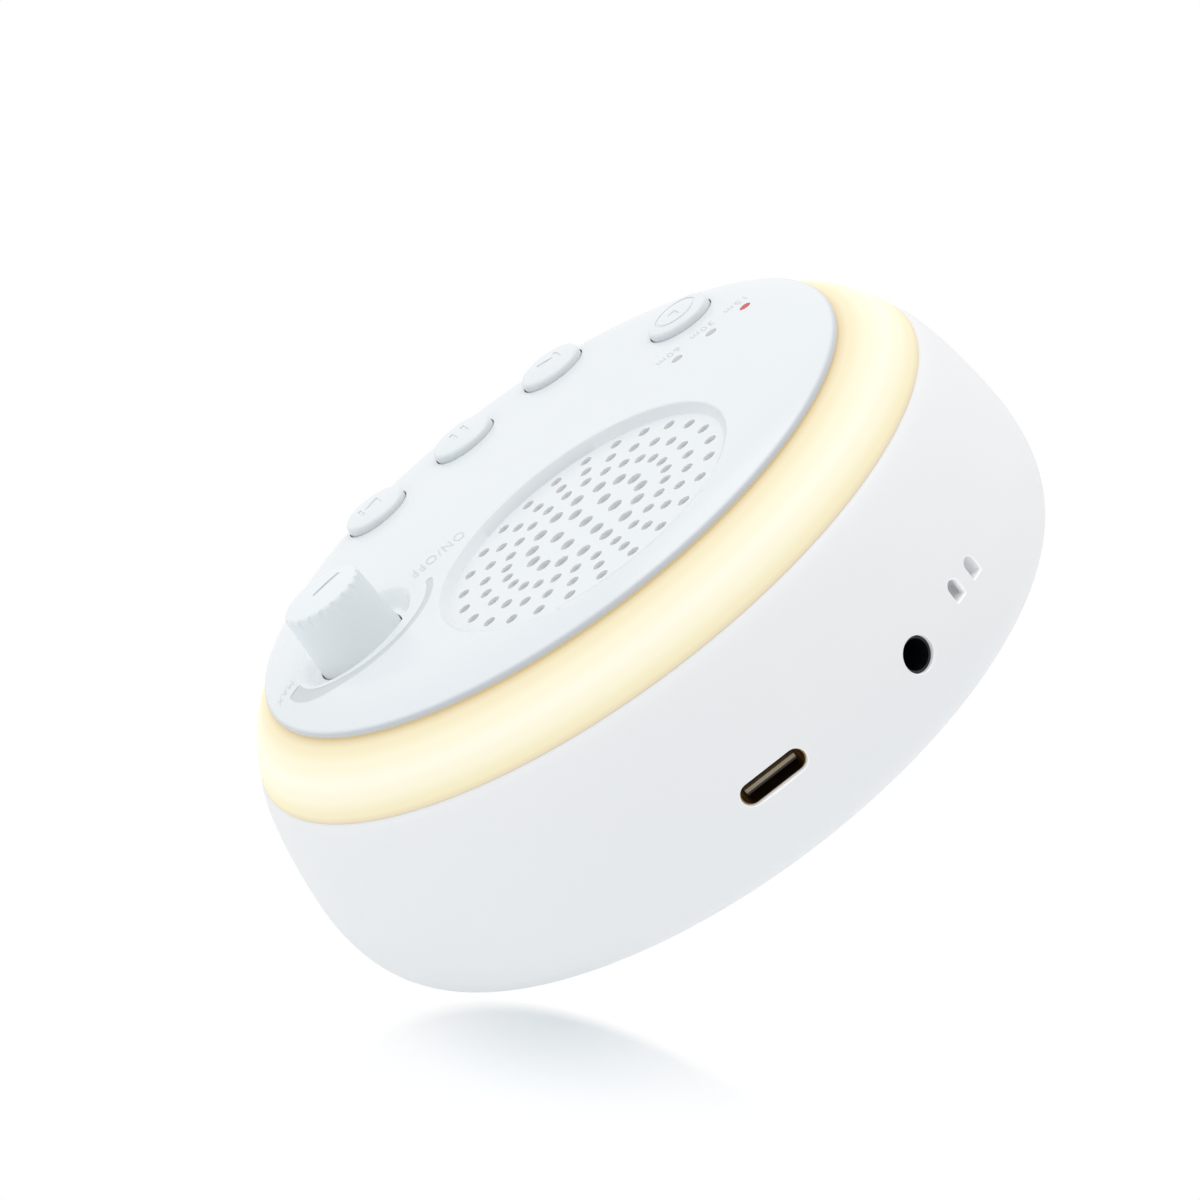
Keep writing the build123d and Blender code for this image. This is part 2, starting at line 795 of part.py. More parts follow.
    # pilot holes
    with Locations(*[(x, y, carrier_top_z) for x, y in plate_screw_places]):
        Cylinder(
            pilot_radius,
            board_screw_length - lug_thickness + 2 * fit_clearance,
            align=(Align.CENTER, Align.CENTER, Align.MIN),
            mode=Mode.SUBTRACT,
        )
    with Locations(*[(x, y, control_board_z) for x, y in control_screws]):
        Cylinder(
            pilot_radius,
            board_screw_length,
            align=(Align.CENTER, Align.CENTER, Align.MIN),
            mode=Mode.SUBTRACT,
        )
    with Locations(*[(x, y, speaker_under_z) for x, y in speaker_screw_places]):
        Cylinder(
            pilot_radius,
            speaker_screw_length + fit_clearance,
            align=(Align.CENTER, Align.CENTER, Align.MIN),
            mode=Mode.SUBTRACT,
        )
finish_piece(top_plate, "top_plate", 0xF2F6F8)

# ---------------------------------------------------------------- speaker grille
with BuildPart() as speaker_grille:
    with BuildSketch(Plane.XY.offset(grille_floor_z)):
        with Locations((0, speaker_y)):
            Circle(grille_radius)
            Circle(ring_hole_radius, mode=Mode.SUBTRACT)
            for count, radius in zip(centre_ring_counts, centre_ring_radii):
                with PolarLocations(radius, count, start_angle=first_hole_angle):
                    Circle(ring_hole_radius, mode=Mode.SUBTRACT)
            for radius in outer_ring_radii:
                with PolarLocations(radius, outer_ring_count, start_angle=first_hole_angle):
                    Circle(outer_hole_radius, mode=Mode.SUBTRACT)
    extrude(amount=-grille_thickness)
    with BuildSketch(Plane.XY.offset(grille_under_z)):
        with Locations((0, speaker_y)):
            Circle(collar_radius)
            Circle(speaker_radius - fit_clearance, mode=Mode.SUBTRACT)
    extrude(amount=grille_flange)
finish_piece(speaker_grille, "speaker_grille", 0xF2F6F8)

# ---------------------------------------------------------------- speaker
with BuildPart() as acoustic_mesh:
    with BuildSketch(Plane.XY.offset(mesh_z)):
        with Locations((0, speaker_y)):
            Circle(speaker_radius)
    extrude(amount=mesh_thickness)
finish_piece(acoustic_mesh, "acoustic_mesh", 0xB4B9BC)

with BuildPart() as speaker_gasket:
    with BuildSketch(Plane.XY.offset(gasket_z)):
        with Locations((0, speaker_y)):
            Circle(speaker_radius)
            Circle(speaker_radius - gasket_width, mode=Mode.SUBTRACT)
    extrude(amount=gasket_thickness)
finish_piece(speaker_gasket, "speaker_gasket", 0x2C2D2F)

speaker_back_z = gasket_z - speaker_depth
magnet_top_z = speaker_back_z + magnet_height
basket_top_z = speaker_under_z - basket_lip
with BuildPart() as speaker_frame:
    with BuildSketch(Plane.XZ):
        with BuildLine():
            Polyline(
                (speaker_radius, gasket_z),
                (speaker_radius - gasket_width, gasket_z),
                (speaker_radius - gasket_width, basket_top_z),
                (magnet_radius, magnet_top_z + basket_wall + basket_lip),
                (magnet_radius - basket_hub_width, magnet_top_z + basket_wall),
                (magnet_radius - basket_hub_width, magnet_top_z),
                (magnet_radius + basket_lip, magnet_top_z),
                (basket_radius, basket_top_z),
                (basket_radius, speaker_under_z),
                (speaker_radius, speaker_under_z),
                close=True,
            )
        make_face()
    basket = revolve(axis=Axis.Z, mode=Mode.PRIVATE)
    add(basket.moved(Location((0, speaker_y, 0))))
    # windows between the spokes of the basket
    with Locations((0, speaker_y, (speaker_under_z + magnet_top_z) / 2)):
        with PolarLocations(basket_radius - window_inset, window_count):
            Box(window_size, window_size, window_height, mode=Mode.SUBTRACT)
finish_piece(speaker_frame, "speaker_frame", 0x6F7478)

with BuildPart() as speaker_magnet:
    with BuildSketch(Plane.XY.offset(speaker_back_z)):
        with Locations((0, speaker_y)):
            Circle(magnet_radius)
    extrude(amount=magnet_height)
    chamfer(speaker_magnet.edges().group_by(Axis.Z)[0], magnet_chamfer)
finish_piece(speaker_magnet, "speaker_magnet", 0x54585B)

cone_edge_z = gasket_z - cone_drop
cone_base_z = cone_edge_z - cone_depth
dust_cap_z = cone_base_z + dust_cap_height
with BuildPart() as speaker_cone:
    with BuildSketch(Plane.XZ):
        with BuildLine():
            Line((cone_radius, cone_edge_z), (dust_cap_radius, cone_base_z))
            TangentArc((0, dust_cap_z), (dust_cap_radius, cone_base_z), tangent=(1, 0))
            Polyline(
                (0, dust_cap_z),
                (0, dust_cap_z - dust_cap_wall),
                (dust_cap_radius - dust_cap_wall, cone_base_z - cone_wall),
                (cone_radius, cone_edge_z - cone_wall),
                (cone_radius, cone_edge_z),
            )
        make_face()
    cone = revolve(axis=Axis.Z, mode=Mode.PRIVATE)
    add(cone.moved(Location((0, speaker_y, 0))))
finish_piece(speaker_cone, "speaker_cone", 0x2A2B2D)

with BuildPart() as voice_coil:
    with BuildSketch(Plane.XY.offset(magnet_top_z)):
        with Locations((0, speaker_y)):
            Circle(dust_cap_radius - dust_cap_wall)
            Circle(dust_cap_radius - dust_cap_wall - coil_wall, mode=Mode.SUBTRACT)
    extrude(amount=cone_base_z - cone_wall - magnet_top_z)
finish_piece(voice_coil, "voice_coil", 0xB87333)

roll_under_z = cone_edge_z - roll_thickness
with BuildPart() as speaker_surround:
    with BuildSketch(Plane.XZ):
        with BuildLine():
            ThreePointArc(
                (cone_radius, cone_edge_z),
                (cone_radius + surround_width / 2, cone_edge_z + roll_height),
                (cone_radius + surround_width, cone_edge_z),
            )
            Line((cone_radius + surround_width, cone_edge_z), (cone_radius + surround_width, roll_under_z))
            ThreePointArc(
                (cone_radius + surround_width, roll_under_z),
                (cone_radius + surround_width / 2, roll_under_z + roll_height),
                (cone_radius, roll_under_z),
            )
            Line((cone_radius, roll_under_z), (cone_radius, cone_edge_z))
        make_face()
    surround = revolve(axis=Axis.Z, mode=Mode.PRIVATE)
    add(surround.moved(Location((0, speaker_y, 0))))
finish_piece(speaker_surround, "speaker_surround", 0x1E1F20)

with BuildPart() as speaker_screws:
    with BuildSketch(Plane.XY.offset(speaker_under_z)):
        with Locations(*speaker_screw_places):
            Circle(screw_radius + speaker_washer_width)
    extrude(amount=-speaker_washer_thickness)
    with BuildSketch(Plane.XY.offset(speaker_under_z)):
        with Locations(*speaker_screw_places):
            Circle(screw_radius)
    extrude(amount=speaker_screw_length)
finish_piece(speaker_screws, "speaker_screws", 0x9EA2A6)

# ---------------------------------------------------------------- light ring
chord_r = seam_radius - ring_top_radius
ring_top_z = plate_rim_z - shadow_gap
chord_z = ring_top_z - seam_z
chord = sqrt(chord_r**2 + chord_z**2)
bulge_r = (ring_top_radius + seam_radius) / 2 + ring_bulge * chord_z / chord
bulge_z = (ring_top_z + seam_z) / 2 + ring_bulge * chord_r / chord
ring_inner = skirt_radius + fit_clearance
spigot_inner = spigot_radius - spigot_wall

with BuildPart() as light_ring:
    with BuildSketch(Plane.XZ):
        with BuildLine():
            ThreePointArc((ring_top_radius, ring_top_z), (bulge_r, bulge_z), (seam_radius, seam_z))
            Polyline(
                (seam_radius, seam_z),
                (spigot_radius, seam_z),
                (spigot_radius, spigot_bottom_z),
                (spigot_inner, spigot_bottom_z),
                (spigot_inner, seam_z),
            )
            ThreePointArc(
                (spigot_inner, seam_z),
                (bulge_r - ring_wall, bulge_z - ring_wall / 2),
                (ring_inner, ring_top_z - ring_lip),
            )
            Polyline(
                (ring_inner, ring_top_z - ring_lip),
                (ring_inner, plate_rim_z),
                (plate_radius - shadow_width, plate_rim_z),
                (plate_radius - shadow_width, ring_top_z),
                (ring_top_radius, ring_top_z),
            )
        make_face()
    revolve(axis=Axis.Z)
finish_piece(light_ring, "light_ring", 0xFFF0C8)

# ---------------------------------------------------------------- light carrier
carrier_outer = spigot_radius
lug_reach = carrier_wall_radius - carrier_wall / 2 - plate_screw_radius
with BuildPart() as light_carrier:
    with BuildSketch(Plane.XZ):
        with BuildLine():
            Polyline(
                (carrier_wall_radius - carrier_wall, carrier_floor_z),
                (carrier_outer, carrier_floor_z),
                (carrier_outer, spigot_bottom_z),
                (carrier_wall_radius + carrier_step, spigot_bottom_z),
                (carrier_wall_radius, spigot_bottom_z + carrier_step_height),
                (carrier_wall_radius, carrier_top_z),
                (carrier_wall_radius - carrier_wall, carrier_top_z),
                close=True,
            )
        make_face()
    revolve(axis=Axis.Z)
    with BuildSketch(Plane.XY.offset(carrier_top_z)):
        with Locations(*plate_screw_places):
            Circle(lug_radius)
        with Locations(*[Location((0, 0, 0), (0, 0, angle)) for angle in plate_screw_angles]):
            with Locations((plate_screw_radius, 0)):
                Rectangle(lug_reach, 2 * lug_radius, align=(Align.MIN, Align.CENTER))
    extrude(amount=-lug_thickness)
    with Locations(*[(x, y, carrier_top_z) for x, y in plate_screw_places]):
        Cylinder(
            screw_hole_radius,
            lug_thickness,
            align=(Align.CENTER, Align.CENTER, Align.MAX),
            mode=Mode.SUBTRACT,
        )
    with Locations(*[(x, y, carrier_floor_z) for x, y in deck_screw_places]):
        Cylinder(
            pilot_radius,
            carrier_flange,
            align=(Align.CENTER, Align.CENTER, Align.MIN),
            mode=Mode.SUBTRACT,
        )
finish_piece(light_carrier, "light_carrier", 0xF4F4F0)

strip_z = (spigot_bottom_z + carrier_top_z) / 2 + strip_lift
strip_radius = carrier_wall_radius + strip_thickness
with BuildPart() as led_strip:
    with BuildSketch(Plane.XY.offset(strip_z - strip_height / 2)):
        Circle(strip_radius)
        Circle(carrier_wall_radius, mode=Mode.SUBTRACT)
    extrude(amount=strip_height)
finish_piece(led_strip, "led_strip", 0xF6F2E4)

with BuildPart() as ring_led_set:
    with PolarLocations(strip_radius + led_depth / 2 + led_glue, ring_leds):
        with Locations((0, 0, strip_z)):
            Box(led_depth, led_width, led_height)
finish_piece(ring_led_set, "ring_leds", 0xFFE08A)

# ---------------------------------------------------------------- control board
with BuildPart() as control_board:
    with BuildSketch(Plane.XY.offset(control_board_z)):
        Circle(control_board_radius)
        with Locations((0, speaker_y)):
            Circle(basket_radius + speaker_clearance, mode=Mode.SUBTRACT)
        with Locations((0, control_board_back_y)):
            Rectangle(
                3 * control_board_radius,
                2 * control_board_radius,
                align=(Align.CENTER, Align.MIN),
                mode=Mode.SUBTRACT,
            )
        with Locations(*plate_screw_places):
            Circle(lug_radius + lug_clearance, mode=Mode.SUBTRACT)
        with Locations(*control_screws):
            Circle(screw_hole_radius, mode=Mode.SUBTRACT)
    extrude(amount=-board_thickness)
finish_piece(control_board, "control_board", 0x2F6B45)

switch_top_z = control_board_z + switch_height
plunger_top_z = switch_top_z + plunger_rise
plunger_length = plunger_rise + switch_height - switch_floor - button_travel - plunger_end_gap
for name, (x, y) in button_places.items():
    with BuildPart() as switch:
        with BuildSketch(Plane.XY.offset(control_board_z)):
            with Locations((x, y)):
                RectangleRounded(switch_size, switch_size, switch_corner)
        extrude(amount=switch_height)
        with Locations((x, y, switch_top_z)):
            Cylinder(
                plunger_radius + plunger_clearance,
                switch_height - switch_floor,
                align=(Align.CENTER, Align.CENTER, Align.MAX),
                mode=Mode.SUBTRACT,
            )
    finish_piece(switch, f"{name}_switch", 0x303234)
    with BuildPart() as plunger:
        with BuildSketch(Plane.XY.offset(plunger_top_z)):
            with Locations((x, y)):
                Circle(plunger_radius)
        extrude(amount=-plunger_length)
    finish_piece(plunger, f"{name}_plunger", 0xC9A66B)
    # cap: crowned top, straight side, flange that keeps it in the plate
    cap_top = crown_z(x, y) + button_rise
    with BuildPart() as cap:
        with BuildSketch(Plane.XZ):
            with BuildLine():
                TangentArc((0, cap_top), (button_radius, cap_top - button_crown), tangent=(1, 0))
                Polyline(
                    (button_radius, cap_top - button_crown),
                    (button_radius, plunger_top_z + button_flange_height),
                    (button_radius + button_flange, plunger_top_z + button_flange_height),
                    (button_radius + button_flange, plunger_top_z),
                    (0, plunger_top_z),
                    (0, cap_top),
                )
            make_face()
        turned = revolve(axis=Axis.Z, mode=Mode.PRIVATE)
        add(turned.moved(Location((x, y, 0))))
        fillet(cap.edges().filter_by(lambda e: e.is_closed).group_by(Axis.Z)[-1], button_edge)
    finish_piece(cap, f"{name}_button", 0xF2F6F8)

light_base_z = control_board_z + indicator_height
for name, (x, y) in light_places.items():
    with BuildPart() as light:
        with BuildSketch(Plane.XY.offset(light_base_z)):
            with Locations((x, y)):
                Circle(light_radius)
        extrude(amount=crown_z(x, y) - light_base_z)
    finish_piece(light, f"timer_light_{name}", 0xCDD2D4)

with BuildPart() as indicator_leds:
    with BuildSketch(Plane.XY.offset(control_board_z)):
        with Locations(*light_places.values()):
            Rectangle(indicator_length, indicator_width)
    extrude(amount=indicator_height)
finish_piece(indicator_leds, "indicator_leds", 0xE8E8E0)

# ---------------------------------------------------------------- volume control
pot_top_z = control_board_z + pot_height
shaft_bottom_z = control_board_z + shaft_lift
knob_bottom_z = dish_floor_z - knob_sink
shaft_top_z = knob_top_z - knob_cap
with BuildPart() as volume_pot:
    with BuildSketch(Plane.XY.offset(control_board_z)):
        with Locations((knob_x, knob_y)):
            RectangleRounded(pot_size, pot_size, pot_corner)
    extrude(amount=pot_height)
    with BuildSketch(Plane.XY.offset(pot_top_z)):
        with Locations((knob_x, knob_y)):
            Circle(bushing_radius)
    extrude(amount=knob_bottom_z - bushing_gap - pot_top_z)
    with Locations((knob_x, knob_y, shaft_bottom_z - shaft_clearance)):
        Cylinder(
            shaft_radius + shaft_clearance,
            knob_top_z - shaft_bottom_z,
            align=(Align.CENTER, Align.CENTER, Align.MIN),
            mode=Mode.SUBTRACT,
        )
finish_piece(volume_pot, "volume_pot", 0x4A4D50)

with BuildPart() as volume_shaft:
    with BuildSketch(Plane.XY.offset(shaft_bottom_z)):
        with Locations((knob_x, knob_y)):
            Circle(shaft_radius)
    extrude(amount=shaft_top_z - shaft_bottom_z)
    with Locations((knob_x, knob_y + shaft_flat, knob_bottom_z)):
        Box(
            3 * shaft_radius,
            2 * shaft_radius,
            2 * shaft_top_z,
            align=(Align.CENTER, Align.MIN, Align.MIN),
            mode=Mode.SUBTRACT,
        )
finish_piece(volume_shaft, "volume_shaft", 0xC4C8CB)

knob_edge_z = knob_top_z - knob_crown
with BuildPart() as volume_knob:
    with BuildSketch(Plane.XZ) as knob_section:
        with BuildLine():
            TangentArc((0, knob_top_z), (knob_top_radius, knob_edge_z), tangent=(1, 0))
            Polyline(
                (knob_top_radius, knob_edge_z),
                (knob_base_radius, dish_floor_z),
                (knob_base_radius, knob_bottom_z),
                (0, knob_bottom_z),
                (0, knob_top_z),
            )
        make_face()
        top_corner = knob_section.vertices().sort_by_distance((knob_top_radius, knob_edge_z))[0]
        fillet(top_corner, knob_edge)
    revolve(axis=Axis.Z)
    # short flutes under the top edge, leaning outwards so that they run out below
    with Locations((0, 0, knob_edge_z)):
        with PolarLocations(knob_top_radius + flute_radius - flute_depth, knob_flutes):
            Cylinder(
                flute_radius,
                2 * flute_length,
                rotation=(0, -flute_lean, 0),
                mode=Mode.SUBTRACT,
            )
    # pointer groove
    with BuildSketch(Plane.XY.offset(knob_top_z)):
        with Locations(Location((0, 0, 0), (0, 0, pointer_angle))):
            with Locations(((pointer_tail - pointer_reach) / 2, 0)):
                SlotOverall(pointer_reach + pointer_tail, pointer_width)
    extrude(amount=-pointer_depth, mode=Mode.SUBTRACT)
    # D-shaped bore
    with BuildSketch(Plane.XY.offset(knob_bottom_z)):
        Circle(shaft_radius + bore_clearance)
        with Locations((0, shaft_flat + bore_clearance)):
            Rectangle(
                3 * shaft_radius,
                2 * shaft_radius,
                align=(Align.CENTER, Align.MIN),
                mode=Mode.SUBTRACT,
            )
    extrude(amount=shaft_top_z - knob_bottom_z, mode=Mode.SUBTRACT)
volume_knob.part = volume_knob.part.moved(Location((knob_x, knob_y, 0)))
finish_piece(volume_knob, "volume_knob", 0xF2F6F8)

# ---------------------------------------------------------------- power board
with BuildPart() as power_board:
    with BuildSketch(Plane.XY.offset(power_board_z)):
        Circle(power_board_radius)
        with Locations((power_board_left_x, power_board_front_y)):
            Rectangle(
                power_board_right_x - power_board_left_x,
                power_board_radius,
                align=(Align.MIN, Align.MIN),
                mode=Mode.INTERSECT,
            )
        with Locations(*power_screws):
            Circle(screw_hole_radius, mode=Mode.SUBTRACT)
    extrude(amount=-board_thickness)
    # slot that the jack sinks into
    with BuildSketch(socket_plane(jack_angle, power_board_z, body_radius - socket_skin - jack_nose_length)):
        Rectangle(jack_width + 2 * fit_clearance, 3 * board_thickness)
    extrude(amount=-(jack_length + fit_clearance), mode=Mode.SUBTRACT)
finish_piece(power_board, "power_board", 0x2F6B45)

with BuildPart() as power_board_screws:
    with BuildSketch(Plane.XY.offset(power_board_z)):
        with Locations(*power_screws):
            Circle(screw_head_radius)
    extrude(amount=screw_head_height)
    with BuildSketch(Plane.XY.offset(power_board_z)):
        with Locations(*power_screws):
            Circle(screw_radius)
    extrude(amount=-(board_screw_length + board_thickness - 4 * tip_clearance))
finish_piece(power_board_screws, "power_board_screws", 0x9EA2A6)

usb_front = body_radius - socket_skin - socket_setback
with BuildPart() as usb_socket:
    with BuildSketch(socket_plane(usb_angle, usb_z, usb_front)):
        SlotOverall(usb_width, usb_height)
    extrude(amount=-usb_length)
    with BuildSketch(socket_plane(usb_angle, usb_z, usb_front)):
        SlotOverall(usb_width - 2 * usb_shell, usb_height - 2 * usb_shell)
    extrude(amount=-(usb_length - usb_back), mode=Mode.SUBTRACT)
finish_piece(usb_socket, "usb_socket", 0x8C7A5C)

with BuildPart() as usb_tongue:
    with BuildSketch(socket_plane(usb_angle, usb_z, usb_front - usb_length + usb_back)):
        Rectangle(tongue_width, tongue_thickness)
    extrude(amount=tongue_length)
finish_piece(usb_tongue, "usb_tongue", 0x2B2520)

jack_front = body_radius - socket_skin - socket_setback
with BuildPart() as headphone_jack:
    with BuildSketch(socket_plane(jack_angle, jack_z, jack_front)):
        Circle(jack_nose_radius)
    extrude(amount=-jack_nose_length)
    with BuildSketch(socket_plane(jack_angle, jack_z, jack_front - jack_nose_length)):
        Rectangle(jack_width, jack_height)
    extrude(amount=-(jack_length - 2 * fit_clearance))
    with BuildSketch(socket_plane(jack_angle, jack_z, jack_front)):
        Circle(jack_bore_radius)
    bore_length = jack_length - 2 * fit_clearance + jack_nose_length - jack_back
    extrude(amount=-bore_length, mode=Mode.SUBTRACT)
finish_piece(headphone_jack, "headphone_jack", 0x18191B)

# ---------------------------------------------------------------- battery
with BuildPart() as battery_pad:
    with BuildSketch(Plane.XY.offset(hatch_top_z)):
        with Locations((0, battery_y)):
            Rectangle(battery_length - 2 * pad_margin, battery_width - 2 * pad_margin)
    extrude(amount=pad_thickness)
finish_piece(battery_pad, "battery_pad", 0x3C3E42)

with BuildPart() as battery:
    with BuildSketch(Plane.XY.offset(hatch_top_z + pad_thickness)):
        with Locations((0, battery_y)):
            RectangleRounded(battery_length, battery_width, battery_corner)
    extrude(amount=battery_height)
    fillet(battery.edges().filter_by(Axis.Z, reverse=True), battery_edge)
finish_piece(battery, "battery", 0x8FA3B5)

# ---------------------------------------------------------------- ribbon
upper_header_y = control_board_back_y - header_clearance - header_depth / 2
lower_header_y = power_board_front_y + lower_header_offset
upper_header_z = control_board_z - board_thickness - header_height
lower_header_z = power_board_z + header_height
with BuildPart() as ribbon_headers:
    with BuildSketch(Plane.XY.offset(upper_header_z)):
        with Locations((ribbon_x, upper_header_y)):
            Rectangle(ribbon_width + 2 * header_margin, header_depth)
    extrude(amount=header_height)
    with BuildSketch(Plane.XY.offset(power_board_z)):
        with Locations((ribbon_x, lower_header_y)):
            Rectangle(ribbon_width + 2 * header_margin, header_depth)
    extrude(amount=header_height)
finish_piece(ribbon_headers, "ribbon_headers", 0xE6E2D4)

with BuildPart() as board_ribbon:
    with BuildSketch(Plane.YZ.offset(ribbon_x - ribbon_width / 2)):
        with BuildLine():
            FilletPolyline(
                (upper_header_y, upper_header_z),
                (upper_header_y, (upper_header_z * 2 + lower_header_z) / 3),
                (lower_header_y, (upper_header_z + lower_header_z * 2) / 3),
                (lower_header_y, lower_header_z),
                radius=ribbon_bend,
            )
        trace(line_width=ribbon_thickness)
    extrude(amount=ribbon_width)
finish_piece(board_ribbon, "board_ribbon", 0xC8CCD0)
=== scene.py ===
from math import asin, atan2, cos, hypot, pi, radians, sin, sqrt, tan, tau

import bmesh
import bpy
import numpy as np
from mathutils import Matrix, Vector


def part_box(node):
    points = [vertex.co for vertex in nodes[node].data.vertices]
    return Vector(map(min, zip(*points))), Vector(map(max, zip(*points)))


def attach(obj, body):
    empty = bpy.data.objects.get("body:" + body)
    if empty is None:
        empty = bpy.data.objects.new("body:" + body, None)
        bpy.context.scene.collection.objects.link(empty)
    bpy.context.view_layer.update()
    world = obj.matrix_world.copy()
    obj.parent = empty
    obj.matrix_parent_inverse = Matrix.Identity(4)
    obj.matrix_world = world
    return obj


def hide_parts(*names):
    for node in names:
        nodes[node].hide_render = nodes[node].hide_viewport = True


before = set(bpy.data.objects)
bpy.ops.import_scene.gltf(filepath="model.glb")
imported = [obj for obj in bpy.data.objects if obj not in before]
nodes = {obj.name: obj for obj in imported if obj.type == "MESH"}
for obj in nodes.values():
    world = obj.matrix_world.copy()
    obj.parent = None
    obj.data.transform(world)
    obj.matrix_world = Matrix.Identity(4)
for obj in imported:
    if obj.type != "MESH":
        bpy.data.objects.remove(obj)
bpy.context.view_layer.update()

# ---------------------------------------------------------------- rubber feet
# Four discs of black silicone rubber, pressed into round pockets in the base cover.
# Their moulded skin is matt and slightly uneven, which the grain group below gives.
MM = 0.001


def put(tree, kind, **settings):
    """New shader node; a setting is one of its properties or inputs, by name or as i0, i1, ..."""
    node = tree.nodes.new("ShaderNode" + kind)
    for label, value in settings.items():
        key = int(label[1:]) if label[1:].isdigit() and label[0] == "i" else label
        if isinstance(key, str) and hasattr(node, key):
            setattr(node, key, value)
        elif isinstance(value, bpy.types.NodeSocket):
            tree.links.new(value, node.inputs[key])
        else:
            node.inputs[key].default_value = value
    return node


def rising(tree, value, start, end, shape="LINEAR"):
    """Value socket: 0 where value is start, climbing to 1 where it is end."""
    ends = {"From Min": start, "From Max": end}
    return put(tree, "MapRange", interpolation_type=shape, Value=value, **ends).outputs["Result"]


def combined(tree, operation, *values, kind="Math", output=0):
    """Socket with the result of one operation on numbers, vectors or sockets."""
    settings = {f"i{place}": value for place, value in enumerate(values)}
    return put(tree, kind, operation=operation, **settings).outputs[output]


def mixed(tree, mask, plain, marked):
    """Colour socket: plain where the mask is 0, marked where it is 1."""
    return put(tree, "Mix", data_type="RGBA", i0=mask, i6=plain, i7=marked).outputs[2]


def texture_scale(tree, source):
    """Value socket: the scale at which a texture repeats every Size millimetres."""
    return combined(tree, "DIVIDE", 1 / MM, source.outputs["Size"])


def grain_pattern(tree, source):
    """Moulded skin: broad soft mottling and a fine pebble; Size is the pebble's."""
    place = source.outputs["Place"]
    fine = put(tree, "TexNoise", Vector=place, Scale=texture_scale(tree, source))
    broad = put(tree, "TexNoise", Vector=place, Scale=45.0, Detail=3.0)
    return rising(tree, broad.outputs["Fac"], 0.35, 0.65), fine.outputs["Fac"]


surface_inputs = {
    "Place": "Vector", "Colour": "Color", "Tint": "Color", "Amount": "Float",
    "Roughness": "Float", "Spread": "Float", "Size": "Float",
}
surface_outputs = {"Colour": "Color", "Roughness": "Float", "Height": "Float"}


def surface_group(name, pattern):
    """Shader group for one kind of surface: a mask mixes two colours, relief gives the height."""
    tree = bpy.data.node_groups.new(name, "ShaderNodeTree")
    for way, sockets in (("INPUT", surface_inputs), ("OUTPUT", surface_outputs)):
        for label, kind in sockets.items():
            tree.interface.new_socket(label, in_out=way, socket_type="NodeSocket" + kind)
    source, sink = tree.nodes.new("NodeGroupInput"), tree.nodes.new("NodeGroupOutput")
    mask, relief = pattern(tree, source)
    amount = combined(tree, "MULTIPLY", mask, source.outputs["Amount"])
    colour = mixed(tree, amount, source.outputs["Colour"], source.outputs["Tint"])
    uneven = combined(tree, "SUBTRACT", relief, 0.5)
    spread, roughness = source.outputs["Spread"], source.outputs["Roughness"]
    rough = combined(tree, "MULTIPLY_ADD", uneven, spread, roughness)
    tree.links.new(colour, sink.inputs["Colour"])
    tree.links.new(rough, sink.inputs["Roughness"])
    tree.links.new(relief, sink.inputs["Height"])
    return tree


def finish(
    name, group, colour, tint, *, roughness, size, relief,
    amount=0.5, spread=0.1, shader_values=None,
):
    """Material from a surface group; size and relief, the bump's depth, are in millimetres."""
    material = bpy.data.materials.new(name)
    material.use_nodes = True
    tree = material.node_tree
    shader = tree.nodes["Principled BSDF"]
    place = put(tree, "TexCoord")
    surface = put(
        tree, "Group", node_tree=group, Place=place.outputs["Object"],
        Colour=(*colour, 1), Tint=(*tint, 1), Amount=amount,
        Roughness=roughness, Spread=spread, Size=size,
    )
    bump = put(tree, "Bump", Height=surface.outputs["Height"], Distance=relief * MM)
    tree.links.new(surface.outputs["Colour"], shader.inputs["Base Color"])
    tree.links.new(surface.outputs["Roughness"], shader.inputs["Roughness"])
    tree.links.new(bump.outputs["Normal"], shader.inputs["Normal"])
    for label, value in (shader_values or {}).items():
        shader.inputs[label].default_value = value
    return material


def dress(material, *names):
    """Gives a material to nodes of the frame."""
    for name in names:
        slots = nodes[name].data.materials
        slots.clear()
        slots.append(material)


moulded = surface_group("moulded_skin", grain_pattern)
foot_rubber = finish(
    "foot_rubber", moulded, (0.024, 0.024, 0.025), (0.05, 0.05, 0.05),
    roughness=0.75, spread=0.2, size=0.25, relief=0.02,
)
dress(foot_rubber, *[f"rubber_foot_{number}" for number in range(1, 5)])

# ---------------------------------------------------------------- base cover and screws
# A flat disc of satin white ABS that closes the bowl from below, held by four screws.
# The screws inside and out are zinc-plated steel with turned heads.
base_plastic = finish(
    "base_plastic", moulded, (0.70, 0.715, 0.72), (0.66, 0.68, 0.69),
    roughness=0.45, spread=0.12, size=0.35, relief=0.006,
)
dress(base_plastic, "base_cover")


def brushed_pattern(tree, source):
    """Fine lathe or drawing lines: noise drawn out sideways; Size is their pitch."""
    drawn = put(tree, "Mapping", Vector=source.outputs["Place"], Scale=(0.06, 0.06, 1.0))
    lines = put(tree, "TexNoise", Vector=drawn.outputs[0], Scale=texture_scale(tree, source))
    cloud = put(tree, "TexNoise", Vector=source.outputs["Place"], Scale=300.0)
    return cloud.outputs["Fac"], lines.outputs["Fac"]


brushed = surface_group("brushed_metal", brushed_pattern)
screw_steel = finish(
    "screw_steel", brushed, (0.46, 0.47, 0.48), (0.38, 0.38, 0.36),
    amount=0.6, roughness=0.34, spread=0.2, size=0.12, relief=0.004,
    shader_values={"Metallic": 1.0},
)
dress(screw_steel, *[name for name in nodes if name.endswith("_screws")])

# ---------------------------------------------------------------- battery
# A lithium pouch in bluish foil, lying on a strip of closed-cell foam in the cradle.
# The foam, the speaker's cloth and its paper cone share a fibre pattern.


